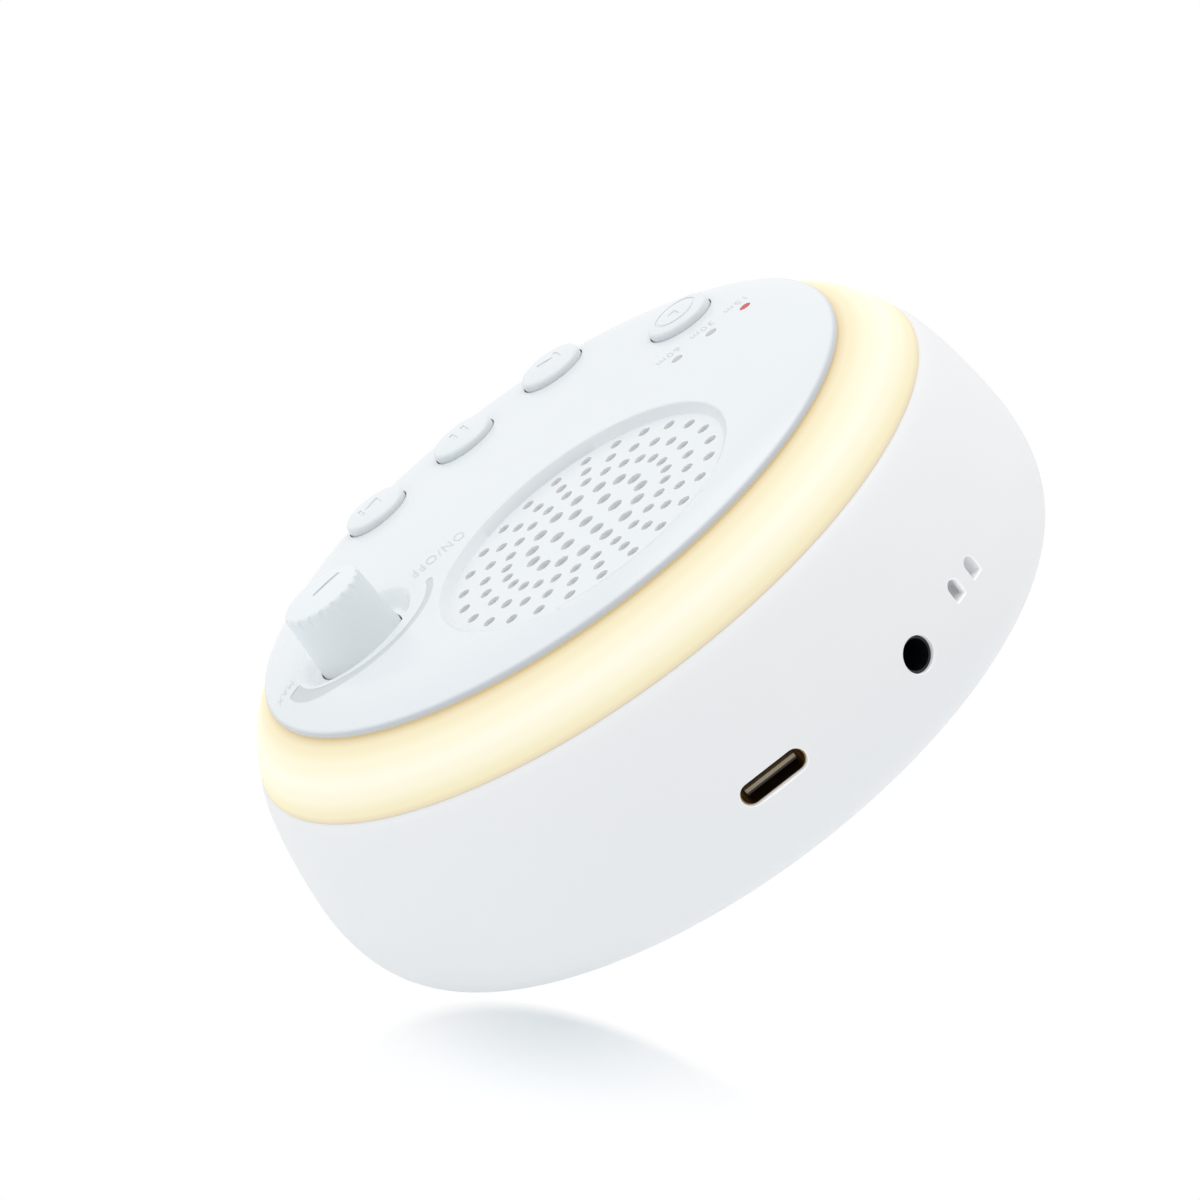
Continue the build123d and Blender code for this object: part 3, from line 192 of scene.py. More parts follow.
def fibre_pattern(tree, source):
    """Woven threads or foam cells; Size is their pitch."""
    place = source.outputs["Place"]
    cells = put(tree, "TexVoronoi", Vector=place, Scale=texture_scale(tree, source))
    cloud = put(tree, "TexNoise", Vector=place, Scale=180.0)
    return cloud.outputs["Fac"], cells.outputs["Distance"]


fibrous = surface_group("fibre_surface", fibre_pattern)
pouch_foil = finish(
    "pouch_foil", moulded, (0.27, 0.36, 0.46), (0.33, 0.41, 0.50),
    amount=0.6, roughness=0.32, spread=0.15, size=1.6, relief=0.03,
)
dress(pouch_foil, "battery")
foam = finish(
    "foam", fibrous, (0.035, 0.036, 0.04), (0.06, 0.06, 0.065),
    amount=0.6, roughness=0.9, size=0.35, relief=0.08,
)
dress(foam, "battery_pad")

# ---------------------------------------------------------------- power board and sockets
# A green glass-epoxy board that carries the charging receptacle and the headphone jack.
# The receptacle is a drawn steel shell round a nylon tongue; the jack is black nylon.


def track_pattern(tree, source):
    """Copper tracks under solder mask: squared-off cells whose walls stand a little proud."""
    wall_start = 0.45
    cells = put(
        tree, "TexVoronoi", distance="CHEBYCHEV",
        Vector=source.outputs["Place"], Scale=texture_scale(tree, source),
    )
    tracks = combined(tree, "GREATER_THAN", cells.outputs["Distance"], wall_start)
    return tracks, tracks


tracked = surface_group("board_tracks", track_pattern)
board_mask = finish(
    "board_mask", tracked, (0.018, 0.12, 0.05), (0.035, 0.20, 0.09),
    amount=0.8, roughness=0.35, size=3.0, relief=0.03,
)
dress(board_mask, "power_board")
socket_steel = finish(
    "socket_steel", brushed, (0.30, 0.19, 0.09), (0.42, 0.29, 0.16),
    roughness=0.32, size=0.1, relief=0.002, shader_values={"Metallic": 1.0},
)
dress(socket_steel, "usb_socket")
tongue_nylon = finish(
    "tongue_nylon", moulded, (0.30, 0.24, 0.16), (0.24, 0.19, 0.12),
    amount=0.6, roughness=0.5, size=0.2, relief=0.004,
)


def height_above(tree):
    """Value socket: height above the table, in metres."""
    place = tree.nodes["Texture Coordinate"].outputs["Object"]
    return put(tree, "SeparateXYZ", Vector=place).outputs["Z"]


# Painted shade: below its top face the tongue is coloured near black, standing in for the shade
# inside the steel shell.
TONGUE_SHADE_TOP_Z, TONGUE_FACE_Z = 13.92, 14.0
painted_tongue_shade = (0.01, 0.008, 0.006, 1)
tree = tongue_nylon.node_tree
unshaded_top = rising(tree, height_above(tree), TONGUE_SHADE_TOP_Z * MM, TONGUE_FACE_Z * MM)
tongue_shaded_colour = mixed(tree, unshaded_top, painted_tongue_shade, tree.nodes["Group"].outputs["Colour"])
tree.links.new(tongue_shaded_colour, tree.nodes["Principled BSDF"].inputs["Base Color"])
dress(tongue_nylon, "usb_tongue")
jack_nylon = finish(
    "jack_nylon", moulded, (0.004, 0.005, 0.007), (0.008, 0.009, 0.01),
    roughness=0.35, size=0.2, relief=0.004,
)
dress(jack_nylon, "headphone_jack")

# ---------------------------------------------------------------- ribbon between the boards
# A grey flat cable with its cores side by side, bent twice on its way between the boards.
# It plugs into an ivory nylon header on each board.
ribbon_grey = finish(
    "ribbon_grey", brushed, (0.42, 0.43, 0.45), (0.34, 0.35, 0.37),
    amount=0.6, roughness=0.5, size=0.6, relief=0.05,
)
dress(ribbon_grey, "board_ribbon")
header_nylon = finish(
    "header_nylon", moulded, (0.62, 0.56, 0.42), (0.55, 0.49, 0.36),
    roughness=0.5, size=0.2, relief=0.005,
)
dress(header_nylon, "ribbon_headers")

# ---------------------------------------------------------------- bowl
# The body shell, injection-moulded in satin white ABS with a wall of 2.2 mm. The mouths of
# the charging inlet and the headphone jack and two lanyard slots are cored out of its rear,
# where a pad inside thickens the wall behind the slots.
BODY_R, WIDEST_Z, WALL = 50.0, 13.5, 2.2
SEAM_R, SEAM_Z = 46.6, 29.85
BASE_R, BASE_Z, HATCH_R = 35.6, 0.7, 33.2
INSIDE_R, FLOOR_Z = BODY_R - WALL, BASE_Z + WALL
INLET_ANGLE, INLET_Z, INLET_W, INLET_H = 5.0, 14.05, 8.6, 2.7
JACK_ANGLE, JACK_Z, JACK_R = -19.75, 13.05, 2.12
SLOT_ANGLE, SLOT_Z, SLOT_W, SLOT_H, SLOT_PITCH, SLOT_CORNER = -32.5, 14.5, 1.75, 2.4, 4.0, 0.25
TURN_START, TURN_DEPTH, TURN_STEPS = 0.25, 1.15, 24
PAD_W, PAD_H, PAD_IN, PAD_OUT = 9.75, 6.4, 45.4, 48.8
upper_outside = ((SEAM_R - 0.02, SEAM_Z - 0.16), (48.3, 28.6), (BODY_R, 17.3), (BODY_R, WIDEST_Z))
lower_outside = ((BODY_R, WIDEST_Z), (BODY_R, 1.1), (42.0, BASE_Z), (BASE_R, BASE_Z))
upper_inside = ((SEAM_R - WALL, SEAM_Z), (46.2, 26.8), (INSIDE_R, 17.3), (INSIDE_R, WIDEST_Z))
lower_inside = ((INSIDE_R, WIDEST_Z), (INSIDE_R, 3.3), (40.9, FLOOR_Z), (HATCH_R + 0.1, FLOOR_Z))


def bezier(p0, p1, p2, p3, count):
    """Points along a cubic curve, both ends among them."""
    out = []
    for step in range(count + 1):
        t = step / count
        a, b, c, d = (1 - t) ** 3, 3 * t * (1 - t) ** 2, 3 * t * t * (1 - t), t**3
        out.append(tuple(a * p0[k] + b * p1[k] + c * p2[k] + d * p3[k] for k in (0, 1)))
    return out


def ring_points(centre, radius, steps):
    """Points of a circle, as (x, y)."""
    return [
        (centre[0] + radius * cos(tau * i / steps), centre[1] + radius * sin(tau * i / steps))
        for i in range(steps)
    ]


def skin_between(rings, closed=False):
    """Mesh of rings joined in turn, capped unless closed; a ring of one point is an apex."""
    form = bmesh.new()
    rows = [[form.verts.new(point) for point in ring] for ring in rings]
    pairs = list(zip(rows, rows[1:])) + ([(rows[-1], rows[0])] if closed else [])
    count = max(len(row) for row in rows)
    for low, high in pairs:
        for i in range(count):
            j = (i + 1) % count
            ends = ((low, i), (low, j), (high, j), (high, i))
            corners = [row[k % len(row)] for row, k in ends]
            form.faces.new([v for k, v in enumerate(corners) if v not in corners[:k]])
    if not closed:
        for row in (rows[0], rows[-1]):
            if len(row) > 2:
                form.faces.new(row)
    bmesh.ops.recalc_face_normals(form, faces=form.faces)
    mesh = bpy.data.meshes.new("form")
    form.to_mesh(mesh)
    form.free()
    return mesh


def box_corners(cx, cy, w, h):
    """Rectangle about a centre, anticlockwise."""
    return [(cx + w * i / 2, cy + h * j / 2) for i, j in ((-1, -1), (1, -1), (1, 1), (-1, 1))]


def turned(profile, steps, centre=(0, 0), closed=False):
    """Turned mesh about an upright axis; a profile height may be a function of (x, y)."""
    rings = []
    for radius, height in profile:
        points = [centre] if radius == 0 else ring_points(centre, radius, steps)
        rings.append([(x, y, height(x, y) if callable(height) else height) for x, y in points])
    return skin_between(rings, closed)


def joined(meshes):
    """One mesh out of several that don't touch."""
    form = bmesh.new()
    for mesh in meshes:
        form.from_mesh(mesh)
    out = bpy.data.meshes.new("joined")
    form.to_mesh(out)
    form.free()
    return out


def cored(mesh, *cutters, slot=1, action="DIFFERENCE"):
    """Cuts each cutter out of a mesh, or adds it; the new faces get one material slot."""
    for cutter in cutters:
        work = bpy.data.objects.new("work", mesh)
        tool = bpy.data.objects.new("tool", cutter)
        for thing in (work, tool):
            bpy.context.scene.collection.objects.link(thing)
            while len(thing.data.materials) <= slot:
                thing.data.materials.append(None)
        cutter.polygons.foreach_set("material_index", [slot] * len(cutter.polygons))
        step = work.modifiers.new("core", "BOOLEAN")
        step.operation, step.object = action, tool
        step.solver, step.material_mode = "EXACT", "INDEX"
        shown = work.evaluated_get(bpy.context.evaluated_depsgraph_get())
        mesh = bpy.data.meshes.new_from_object(shown)
        bpy.data.objects.remove(work)
        bpy.data.objects.remove(tool)
    return mesh


def true_normals(mesh, profile, centre=(0, 0), crease=35.0):
    """Sets the exact normals of a turned profile on the uncut faces; cut faces smooth by angle."""
    near_axis, tiny, batch = 1e-4, 1e-9, 20000
    # Both ends of each line of the profile get a normal; lines that meet softly share it.
    line = np.array(profile, float)
    kept = np.hypot(*(line[1:] - line[:-1]).T) > tiny
    start, along = line[:-1][kept], (line[1:] - line[:-1])[kept]
    unit = along / np.hypot(*along.T)[:, None]
    face = np.stack([unit[:, 1], -unit[:, 0]], 1)
    smooth = (face[:-1] * face[1:]).sum(1) > cos(radians(crease))
    shared = face[:-1] + face[1:]
    shared /= np.hypot(*shared.T)[:, None]
    first, last = face.copy(), face.copy()
    last[:-1][smooth] = shared[smooth]
    first[1:][smooth] = shared[smooth]

    # Each corner of the mesh: its place, its spoke from the axis and the way its face looks.
    owner = np.repeat(np.arange(len(mesh.polygons)), [p.loop_total for p in mesh.polygons])
    slot = np.array([p.material_index for p in mesh.polygons])[owner]
    facing = np.array([p.normal for p in mesh.polygons])[owner]
    middle = np.array([p.center for p in mesh.polygons])[owner][:, :2] - np.array(centre)
    points = np.array([v.co for v in mesh.vertices])[[corner.vertex_index for corner in mesh.loops]]
    out = points[:, :2] - np.array(centre)
    radius = np.hypot(*out.T)
    spoke = np.where(radius[:, None] > near_axis, out, middle)
    spoke /= np.maximum(np.hypot(*spoke.T), tiny)[:, None]
    side = (facing[:, :2] * spoke).sum(1)

    # The nearest line that slopes as the face does gives the normal.
    normals = np.zeros((len(mesh.loops), 3))
    wanted = np.nonzero(slot == 0)[0]
    for chunk in np.array_split(wanted, max(1, len(wanted) // batch)):
        here = np.stack([radius[chunk], points[chunk, 2]], 1)[:, None]
        t = np.clip(((here - start) * along).sum(2) / (along**2).sum(1), 0, 1)
        gap = np.linalg.norm(here - (start + along * t[..., None]), axis=2)
        match = np.abs(side[chunk][:, None] * face[:, 0] + facing[chunk, 2][:, None] * face[:, 1])
        pick = np.argmin(gap + 2 * (1 - match), axis=1)
        part = t[np.arange(len(chunk)), pick][:, None]
        flat = first[pick] * (1 - part) + last[pick] * part
        flat *= np.sign((flat * np.stack([side[chunk], facing[chunk, 2]], 1)).sum(1))[:, None]
        normals[chunk] = np.concatenate([spoke[chunk] * flat[:, :1], flat[:, 1:]], 1)

    mesh.polygons.foreach_set("use_smooth", [True] * len(mesh.polygons))
    mesh.set_sharp_from_angle(angle=radians(crease))
    lengths = np.linalg.norm(normals, axis=1)
    normals[lengths > 0] /= lengths[lengths > 0][:, None]
    mesh.normals_split_custom_set([tuple(n) for n in normals])


def piece(name, mesh, body, materials, slot, *replaced):
    """Puts a mesh made in millimetres into the scene, on its body and in place of its nodes."""
    mesh.transform(Matrix.Scale(MM, 4))
    for number, material in enumerate(materials):
        if number < len(mesh.materials):
            mesh.materials[number] = material
        else:
            mesh.materials.append(material)
    thing = bpy.data.objects.new(name, mesh)
    bpy.context.scene.collection.objects.link(thing)
    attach(thing, body)
    if replaced:
        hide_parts(*replaced)


outer_bowl = bezier(*upper_outside, 30) + bezier(*lower_outside, 44)[1:]
inner_bowl = bezier(*upper_inside, 16) + bezier(*lower_inside, 16)[1:]
bowl_profile = (
    [(SEAM_R - WALL, SEAM_Z), (SEAM_R - 0.16, SEAM_Z), (SEAM_R - 0.06, SEAM_Z - 0.05)]
    + outer_bowl
    + [(HATCH_R, BASE_Z), (HATCH_R, FLOOR_Z)]
    + inner_bowl[::-1]
)
bowl_height = np.array([z for r, z in outer_bowl])[::-1]
bowl_reach = np.array([r for r, z in outer_bowl])[::-1]


def bowl_radius(height):
    """Outer radius of the bowl at a height."""
    return float(np.interp(height, bowl_height, bowl_reach))


def skin_reach(sideways, height):
    """Outward distance of the bowl's skin at a sideways distance and a height."""
    return sqrt(bowl_radius(height) ** 2 - sideways**2)


def rear_point(angle, sideways, outwards, height):
    """Point at a distance out from the axis and aside, square to an angle round from the rear."""
    a = radians(angle)
    return (outwards * sin(a) - sideways * cos(a), outwards * cos(a) + sideways * sin(a), height)


def pocket(angle, height, outline, rings):
    """Cutter that enters the bowl square to its wall; rings are (growth, depth below the skin)."""
    rows = []
    for growth, depth in rings:
        points = [(u, height + v) for u, v in outline(growth)]
        rows.append([rear_point(angle, u, skin_reach(u, z) - depth, z) for u, z in points])
    return skin_between(rows)


def pill(width, tall, growth, steps=16):
    """Rounded slot, wider than it is tall."""
    r, reach = tall / 2 + growth, (width - tall) / 2
    turns = [pi * (i / steps - 0.5) for i in range(steps + 1)]
    right = [(reach + r * cos(t), r * sin(t)) for t in turns]
    return right + [(-u, -v) for u, v in right]


def arch(growth, steps=14):
    """Lanyard slot: round above, flat with small corners below."""
    r, low, top = SLOT_W / 2 + growth, -SLOT_H / 2 - growth, SLOT_H / 2 - SLOT_W / 2
    crown = [(r * cos(pi * i / steps), top + r * sin(pi * i / steps)) for i in range(steps + 1)]
    corner = [
        (SLOT_CORNER * (1 - cos(t)), SLOT_CORNER * (1 - sin(t)))
        for t in (radians(k) for k in (0, 30, 60, 90))
    ]
    left = [(-r + u, low + v) for u, v in corner]
    return crown + left + [(-u, v) for u, v in left[::-1]]


def lanyard_tunnel():
    """Tunnel behind the bar: in at one slot, half a turn, out at the other, mouths rounded."""
    rings = [(0.42, -0.3), (0.2, -0.02), (0.06, 0.08), (0.0, TURN_START)]

    def outline(growth):
        return [(SLOT_PITCH / 2 + u, SLOT_Z + v) for u, v in arch(growth)]

    def mouth(side, growth, depth):
        return [
            rear_point(SLOT_ANGLE, side * u, skin_reach(u, z) - depth, z)
            for u, z in outline(growth)
        ]

    def turn(t):
        start = BODY_R - TURN_START
        return [
            rear_point(SLOT_ANGLE, u * cos(t), start - u * sin(t) * TURN_DEPTH, z)
            for u, z in outline(0.0)
        ]

    return skin_between(
        [mouth(1, *ring) for ring in rings]
        + [turn(pi * i / TURN_STEPS) for i in range(1, TURN_STEPS)]
        + [mouth(-1, *ring) for ring in rings[::-1]]
    )


inlet_rings = [(0.4, -0.3), (0.16, -0.02), (0.05, 0.06), (0.0, 0.2), (0.0, 0.66)]
inlet_rings += [(0.3, 0.7), (0.3, 6.0)]
jack_rings = [(0.4, -0.3), (0.14, -0.02), (0.05, 0.05), (0.0, 0.18), (0.0, 0.66)]
jack_rings += [(1.2, 0.7), (1.2, 6.0)]
inlet_mouth = pocket(
    INLET_ANGLE, INLET_Z, lambda growth: pill(INLET_W, INLET_H, growth), inlet_rings
)
jack_mouth = pocket(
    JACK_ANGLE, JACK_Z, lambda growth: ring_points((0, 0), JACK_R + growth, 64), jack_rings
)
pad = skin_between(
    [
        [rear_point(SLOT_ANGLE, u, reach, SLOT_Z + v) for u, v in box_corners(0, 0, PAD_W, PAD_H)]
        for reach in (PAD_IN, PAD_OUT)
    ]
)
bowl = cored(turned(bowl_profile, 512, closed=True), pad, action="UNION")
bowl = cored(bowl, joined([inlet_mouth, jack_mouth, lanyard_tunnel()]))
true_normals(bowl, bowl_profile + bowl_profile[:1])
satin_white = finish(
    "satin_white", moulded, (0.755, 0.758, 0.765), (0.742, 0.748, 0.755),
    roughness=0.36, spread=0.08, size=0.3, relief=0.002, shader_values={"IOR": 1.5},
)
# Painted light: the walls of the mouths and slots get a lighter copy of the bowl's white, lifting
# the shade inside them.
mouth_painted_light = finish(
    "mouth_painted_light", moulded, (0.93, 0.935, 0.94), (0.91, 0.915, 0.925),
    roughness=0.4, spread=0.05, size=0.3, relief=0.001,
)
piece("bowl", bowl, "machine", [satin_white, mouth_painted_light], "satin_white", "body_shell")

# ---------------------------------------------------------------- light carrier and LEDs
# A white reflector drum inside the ring. A flexible strip with yellow phosphor LEDs is
# glued round it and throws its light outwards into the diffuser.
reflector_white = finish(
    "reflector_white", moulded, (0.80, 0.79, 0.76), (0.76, 0.75, 0.72),
    roughness=0.6, size=0.3, relief=0.005,
)
dress(reflector_white, "light_carrier")
strip_film = finish(
    "strip_film", tracked, (0.78, 0.75, 0.66), (0.70, 0.62, 0.45),
    amount=0.6, roughness=0.4, size=1.2, relief=0.01,
)
dress(strip_film, "led_strip")
led_phosphor = finish(
    "led_phosphor", moulded, (0.85, 0.66, 0.20), (0.80, 0.58, 0.14),
    roughness=0.3, size=0.4, relief=0.004,
    shader_values={"Emission Color": (1.0, 0.75, 0.35, 1), "Emission Strength": 0.6},
)
dress(led_phosphor, "ring_leds")

# ---------------------------------------------------------------- light ring
# A hoop of translucent white acrylic between bowl and plate, plugged into the bowl by a
# spigot. Lit from inside it glows warm, brightest at mid-height, deeper at both edges.
RING_TOP_R, RING_TOP_Z, RING_BULGE, LIP_R = 40.2, 36.9, 1.0, 38.6
SPIGOT_R, SPIGOT_INSIDE_R, SPIGOT_Z = 44.2, 42.4, 27.85
PLATE_R, PLATE_RIM_Z, SHADOW_W = 40.3, 37.2, 0.6
SEAT_R = PLATE_R - SHADOW_W
glow_stops = [
    (0.0, (0.43, 0.34, 0.20)),
    (0.12, (0.53, 0.47, 0.27)),
    (0.35, (0.58, 0.55, 0.41)),
    (0.55, (0.60, 0.59, 0.49)),
    (0.75, (0.59, 0.55, 0.40)),
    (0.92, (0.53, 0.46, 0.27)),
    (1.0, (0.45, 0.34, 0.16)),
]


def arc_through(p0, p1, p2, count):
    """Points of the circular arc through three points, both ends among them."""
    (ax, ay), (bx, by), (cx, cy) = p0, p1, p2
    d = 2 * (ax * (by - cy) + bx * (cy - ay) + cx * (ay - by))
    a2, b2, c2 = ax * ax + ay * ay, bx * bx + by * by, cx * cx + cy * cy
    ox = (a2 * (by - cy) + b2 * (cy - ay) + c2 * (ay - by)) / d
    oy = (a2 * (cx - bx) + b2 * (ax - cx) + c2 * (bx - ax)) / d
    radius = hypot(ax - ox, ay - oy)
    start, end = atan2(ay - oy, ax - ox), atan2(cy - oy, cx - ox)
    turn = (end - start + pi) % tau - pi
    return [
        (ox + radius * cos(t), oy + radius * sin(t))
        for t in (start + turn * i / count for i in range(count + 1))
    ]


run, rise = SEAM_R - RING_TOP_R, RING_TOP_Z - SEAM_Z
slant = hypot(run, rise)
bulge = (
    (RING_TOP_R + SEAM_R) / 2 + RING_BULGE * rise / slant,
    (RING_TOP_Z + SEAM_Z) / 2 + RING_BULGE * run / slant,
)
ring_face = arc_through((RING_TOP_R, RING_TOP_Z), bulge, (SEAM_R - 0.05, SEAM_Z + 0.06), 40)
ring_seat = [
    (LIP_R, PLATE_RIM_Z), (SEAT_R, PLATE_RIM_Z), (SEAT_R, RING_TOP_Z + 0.02),
    (SEAT_R + 0.05, RING_TOP_Z), (RING_TOP_R - 0.08, RING_TOP_Z),
]
ring_spigot = [
    (SEAM_R - 0.12, SEAM_Z), (SPIGOT_R, SEAM_Z), (SPIGOT_R, SPIGOT_Z),
    (SPIGOT_INSIDE_R, SPIGOT_Z), (SPIGOT_INSIDE_R, SEAM_Z),
]
ring_inside = [(41.6, 32.4), (40.2, 34.2), (LIP_R, 35.2)]
ring_profile = ring_seat + ring_face[1:] + ring_spigot + ring_inside
ring = turned(ring_profile, 512, closed=True)
true_normals(ring, ring_profile + ring_profile[:1])
diffuser = finish(
    "warm_diffuser", moulded, (0.35, 0.33, 0.27), (0.34, 0.32, 0.26),
    amount=0.4, roughness=0.42, spread=0.06, size=0.5, relief=0.002,
    shader_values={"Emission Strength": 1.02, "IOR": 1.49, "Specular IOR Level": 0.1},
)
tree = diffuser.node_tree
level = rising(tree, height_above(tree), SEAM_Z * MM, RING_TOP_Z * MM)
glow = put(tree, "ValToRGB", Fac=level)
ramp = glow.color_ramp
ramp.interpolation = "EASE"
while len(ramp.elements) < len(glow_stops):
    ramp.elements.new(0.5)
for stop, (place, colour) in zip(ramp.elements, glow_stops):
    stop.position, stop.color = place, (*colour, 1)
tree.links.new(glow.outputs["Color"], tree.nodes["Principled BSDF"].inputs["Emission Color"])
piece("glow_ring", ring, "machine", [diffuser], "warm_diffuser", "light_ring")

# ---------------------------------------------------------------- speaker
# A 36 mm driver under the grille: plated steel frame and magnet, pressed paper cone with
# a rubber roll, and fine grey cloth above it that keeps dust out.
speaker_metal = finish(
    "speaker_metal", brushed, (0.10, 0.105, 0.11), (0.15, 0.15, 0.155),
    amount=0.6, roughness=0.45, spread=0.15, size=0.3, relief=0.01, shader_values={"Metallic": 0.9},
)
dress(speaker_metal, "speaker_frame", "speaker_magnet")
cone_paper = finish(
    "cone_paper", fibrous, (0.022, 0.022, 0.024), (0.04, 0.04, 0.042),
    amount=0.6, roughness=0.8, size=0.25, relief=0.03,
)
dress(cone_paper, "speaker_cone")
roll_rubber = finish(
    "roll_rubber", moulded, (0.015, 0.015, 0.016), (0.03, 0.03, 0.03),
    roughness=0.6, size=0.3, relief=0.01,
)
dress(roll_rubber, "speaker_surround")
coil_copper = finish(
    "coil_copper", brushed, (0.60, 0.22, 0.09), (0.48, 0.16, 0.06),
    roughness=0.3, size=0.12, relief=0.02, shader_values={"Metallic": 1.0},
)
dress(coil_copper, "voice_coil")
dust_cloth = finish(
    "dust_cloth", fibrous, (0.62, 0.64, 0.65), (0.54, 0.56, 0.57),
    roughness=0.85, size=0.2, relief=0.05,
)
dress(dust_cloth, "acoustic_mesh")
dress(foam, "speaker_gasket")

# ---------------------------------------------------------------- control board
# A second green board, which carries four black tact switches with tan plungers and the
# potentiometer of the volume knob. The potentiometer's shaft is turned aluminium.
dress(board_mask, "control_board")
switch_nylon = finish(
    "switch_nylon", moulded, (0.02, 0.02, 0.021), (0.035, 0.035, 0.036),
    roughness=0.45, size=0.2, relief=0.005,
)
dress(switch_nylon, *[n for n in nodes if n.endswith("_switch")], "volume_pot")
plunger_nylon = finish(
    "plunger_nylon", moulded, (0.55, 0.35, 0.13), (0.50, 0.31, 0.11),
    roughness=0.45, size=0.2, relief=0.005,
)
dress(plunger_nylon, *[n for n in nodes if n.endswith("_plunger")])
shaft_aluminium = finish(
    "shaft_aluminium", brushed, (0.62, 0.63, 0.65), (0.55, 0.56, 0.58),
    roughness=0.3, spread=0.15, size=0.1, relief=0.004, shader_values={"Metallic": 1.0},
)
dress(shaft_aluminium, "volume_shaft")

# ---------------------------------------------------------------- top plate
# A domed lid in gloss white ABS. The speaker field, the knob's dish, the tapering volume
# mark and the holes for buttons and lights are moulded into it; screws hold it from below.
CROWN_Z, SHOULDER_R, SHOULDER_Z, EDGE_Z = 40.6, 33.0, 40.0, 37.8
GRILLE_Y, GRILLE_R, GRILLE_Z, RECESS_R = 18.5, 18.6, 39.25, 19.5
KNOB_X, KNOB_Y, KNOB_HOLE_R, DISH_R, DISH_FLOOR_R, DISH_Z = 27.4, 1.1, 5.7, 8.5, 6.2, 38.5
BUTTON_HOLE_R, LIGHT_R = 4.3, 0.66
SKIRT_R, SKIRT_INSIDE_R, SKIRT_Z = 38.4, 37.0, 35.0
MARK_SLOPE, MARK_END_Y, MARK_DEPTH, MARK_CORNER, MARK_STEPS = radians(7), 0.7, 0.05, 0.28, 120
MARK_OUTSIDE, MARK_INSIDE = (-0.6, 0.37, 10.74), (-1.03, 0.48, 9.42)
OVER_PLATE_Z, UNDER_PLATE_Z = 45.0, 30.0
SOFT_RIM = ((0.45, 0.25), (0.12, 0.62), (0.0, 1.2))
button_places = {
    "previous": (-13.9, -28.5),
    "pause": (0.0, -28.5),
    "next": (13.9, -28.5),
    "timer": (-27.6, -12.4),
}
light_places = {"15": (-32.9, -1.7), "30": (-27.8, -1.7), "60": (-22.7, -1.7)}
rolled_rim = [
    (40.2, EDGE_Z), (40.265, 37.72), (PLATE_R, 37.6), (PLATE_R, 37.28), (40.275, 37.22),
    (40.22, PLATE_RIM_Z),
]
underside = [
    (SKIRT_R, PLATE_RIM_Z), (SKIRT_R, SKIRT_Z), (SKIRT_INSIDE_R, SKIRT_Z), (SKIRT_INSIDE_R, 36.9),
    (SHOULDER_R, 37.9), (0.0, 38.55),
]
crown_sphere = (SHOULDER_R**2 + (CROWN_Z - SHOULDER_Z) ** 2) / (2 * (CROWN_Z - SHOULDER_Z))
lean = asin(SHOULDER_R / crown_sphere)
fall = atan2(SHOULDER_Z - EDGE_Z, PLATE_R - SHOULDER_R) - lean
bend = hypot(SHOULDER_Z - EDGE_Z, PLATE_R - SHOULDER_R) / (2 * sin(fall))
bend_centre = (SHOULDER_R - bend * sin(lean), SHOULDER_Z - bend * cos(lean))


def dome(x, y):
    """Height of the plate's outer face above the point (x, y)."""
    r = hypot(x, y)
    if r <= SHOULDER_R:
        return CROWN_Z - crown_sphere + sqrt(crown_sphere**2 - r * r)
    return bend_centre[1] + sqrt(bend**2 - (min(r, PLATE_R) - bend_centre[0]) ** 2)


def below(depth, floor=-1e9):
    """Height function: a fixed depth below the dome, not deeper than floor."""
    return lambda x, y: max(dome(x, y) - depth, floor)


def plate_cutter(wall, steps, place):
    """Round cutter through the plate; its wall is given from the top down."""
    top = [(0.0, OVER_PLATE_Z), (wall[0][0], OVER_PLATE_Z)]
    bottom = [(wall[-1][0], UNDER_PLATE_Z), (0.0, UNDER_PLATE_Z)]
    return turned(top + wall + bottom, steps, place)


def hole_cutter(place, radius, rim=0.07, steps=96):
    """Round hole with a softened rim that follows the dome."""
    wall = [(radius + rim + 0.25, below(-0.2)), (radius + rim, below(-0.01))]
    wall += [(radius + out * rim, below(down * rim)) for out, down in SOFT_RIM]
    return plate_cutter(wall, steps, place)


def in_dish(rise):
    """Height function: rise 0 is the dish's floor, 1 the dome."""
    return lambda x, y: DISH_Z + rise * (dome(x, y) - DISH_Z)


def mark_cutter():
    """Tapering groove round the dish between two circles, cut off by a sloping line."""
    wall = [(0.05, -0.5), (0.04, -0.01), (0.0, MARK_DEPTH)]
    length = pi * 10.7
    paths = []
    for shift_x, shift_y, radius in (MARK_OUTSIDE, MARK_INSIDE):
        off = asin((sin(MARK_SLOPE) * shift_x + cos(MARK_SLOPE) * (shift_y - MARK_END_Y)) / radius)
        first, last = -MARK_SLOPE - off, pi - MARK_SLOPE + off
        angles = [first + (last - first) * (i / MARK_STEPS) for i in range(MARK_STEPS + 1)]
        x, y = KNOB_X + shift_x, KNOB_Y + shift_y
        paths.append([(x + radius * cos(t), y + radius * sin(t)) for t in angles])
    rings = []
    for i, (far, near) in enumerate(zip(*paths)):
        far, near = Vector(far), Vector(near)
        middle, across = (far + near) / 2, (far - near).normalized()
        half = (far - near).length / 2
        run = length * min(i, MARK_STEPS - i) / MARK_STEPS
        soft = min(MARK_CORNER, half)
        if run < soft:
            half += sqrt(soft**2 - (soft - run) ** 2) - soft
        ring = []
        for side, levels in ((1, wall), (-1, wall[::-1])):
            for growth, depth in levels:
                x, y = middle + across * side * (half + growth)
                ring.append((x, y, below(depth)(x, y)))
        rings.append(ring)
    return skin_between(rings)


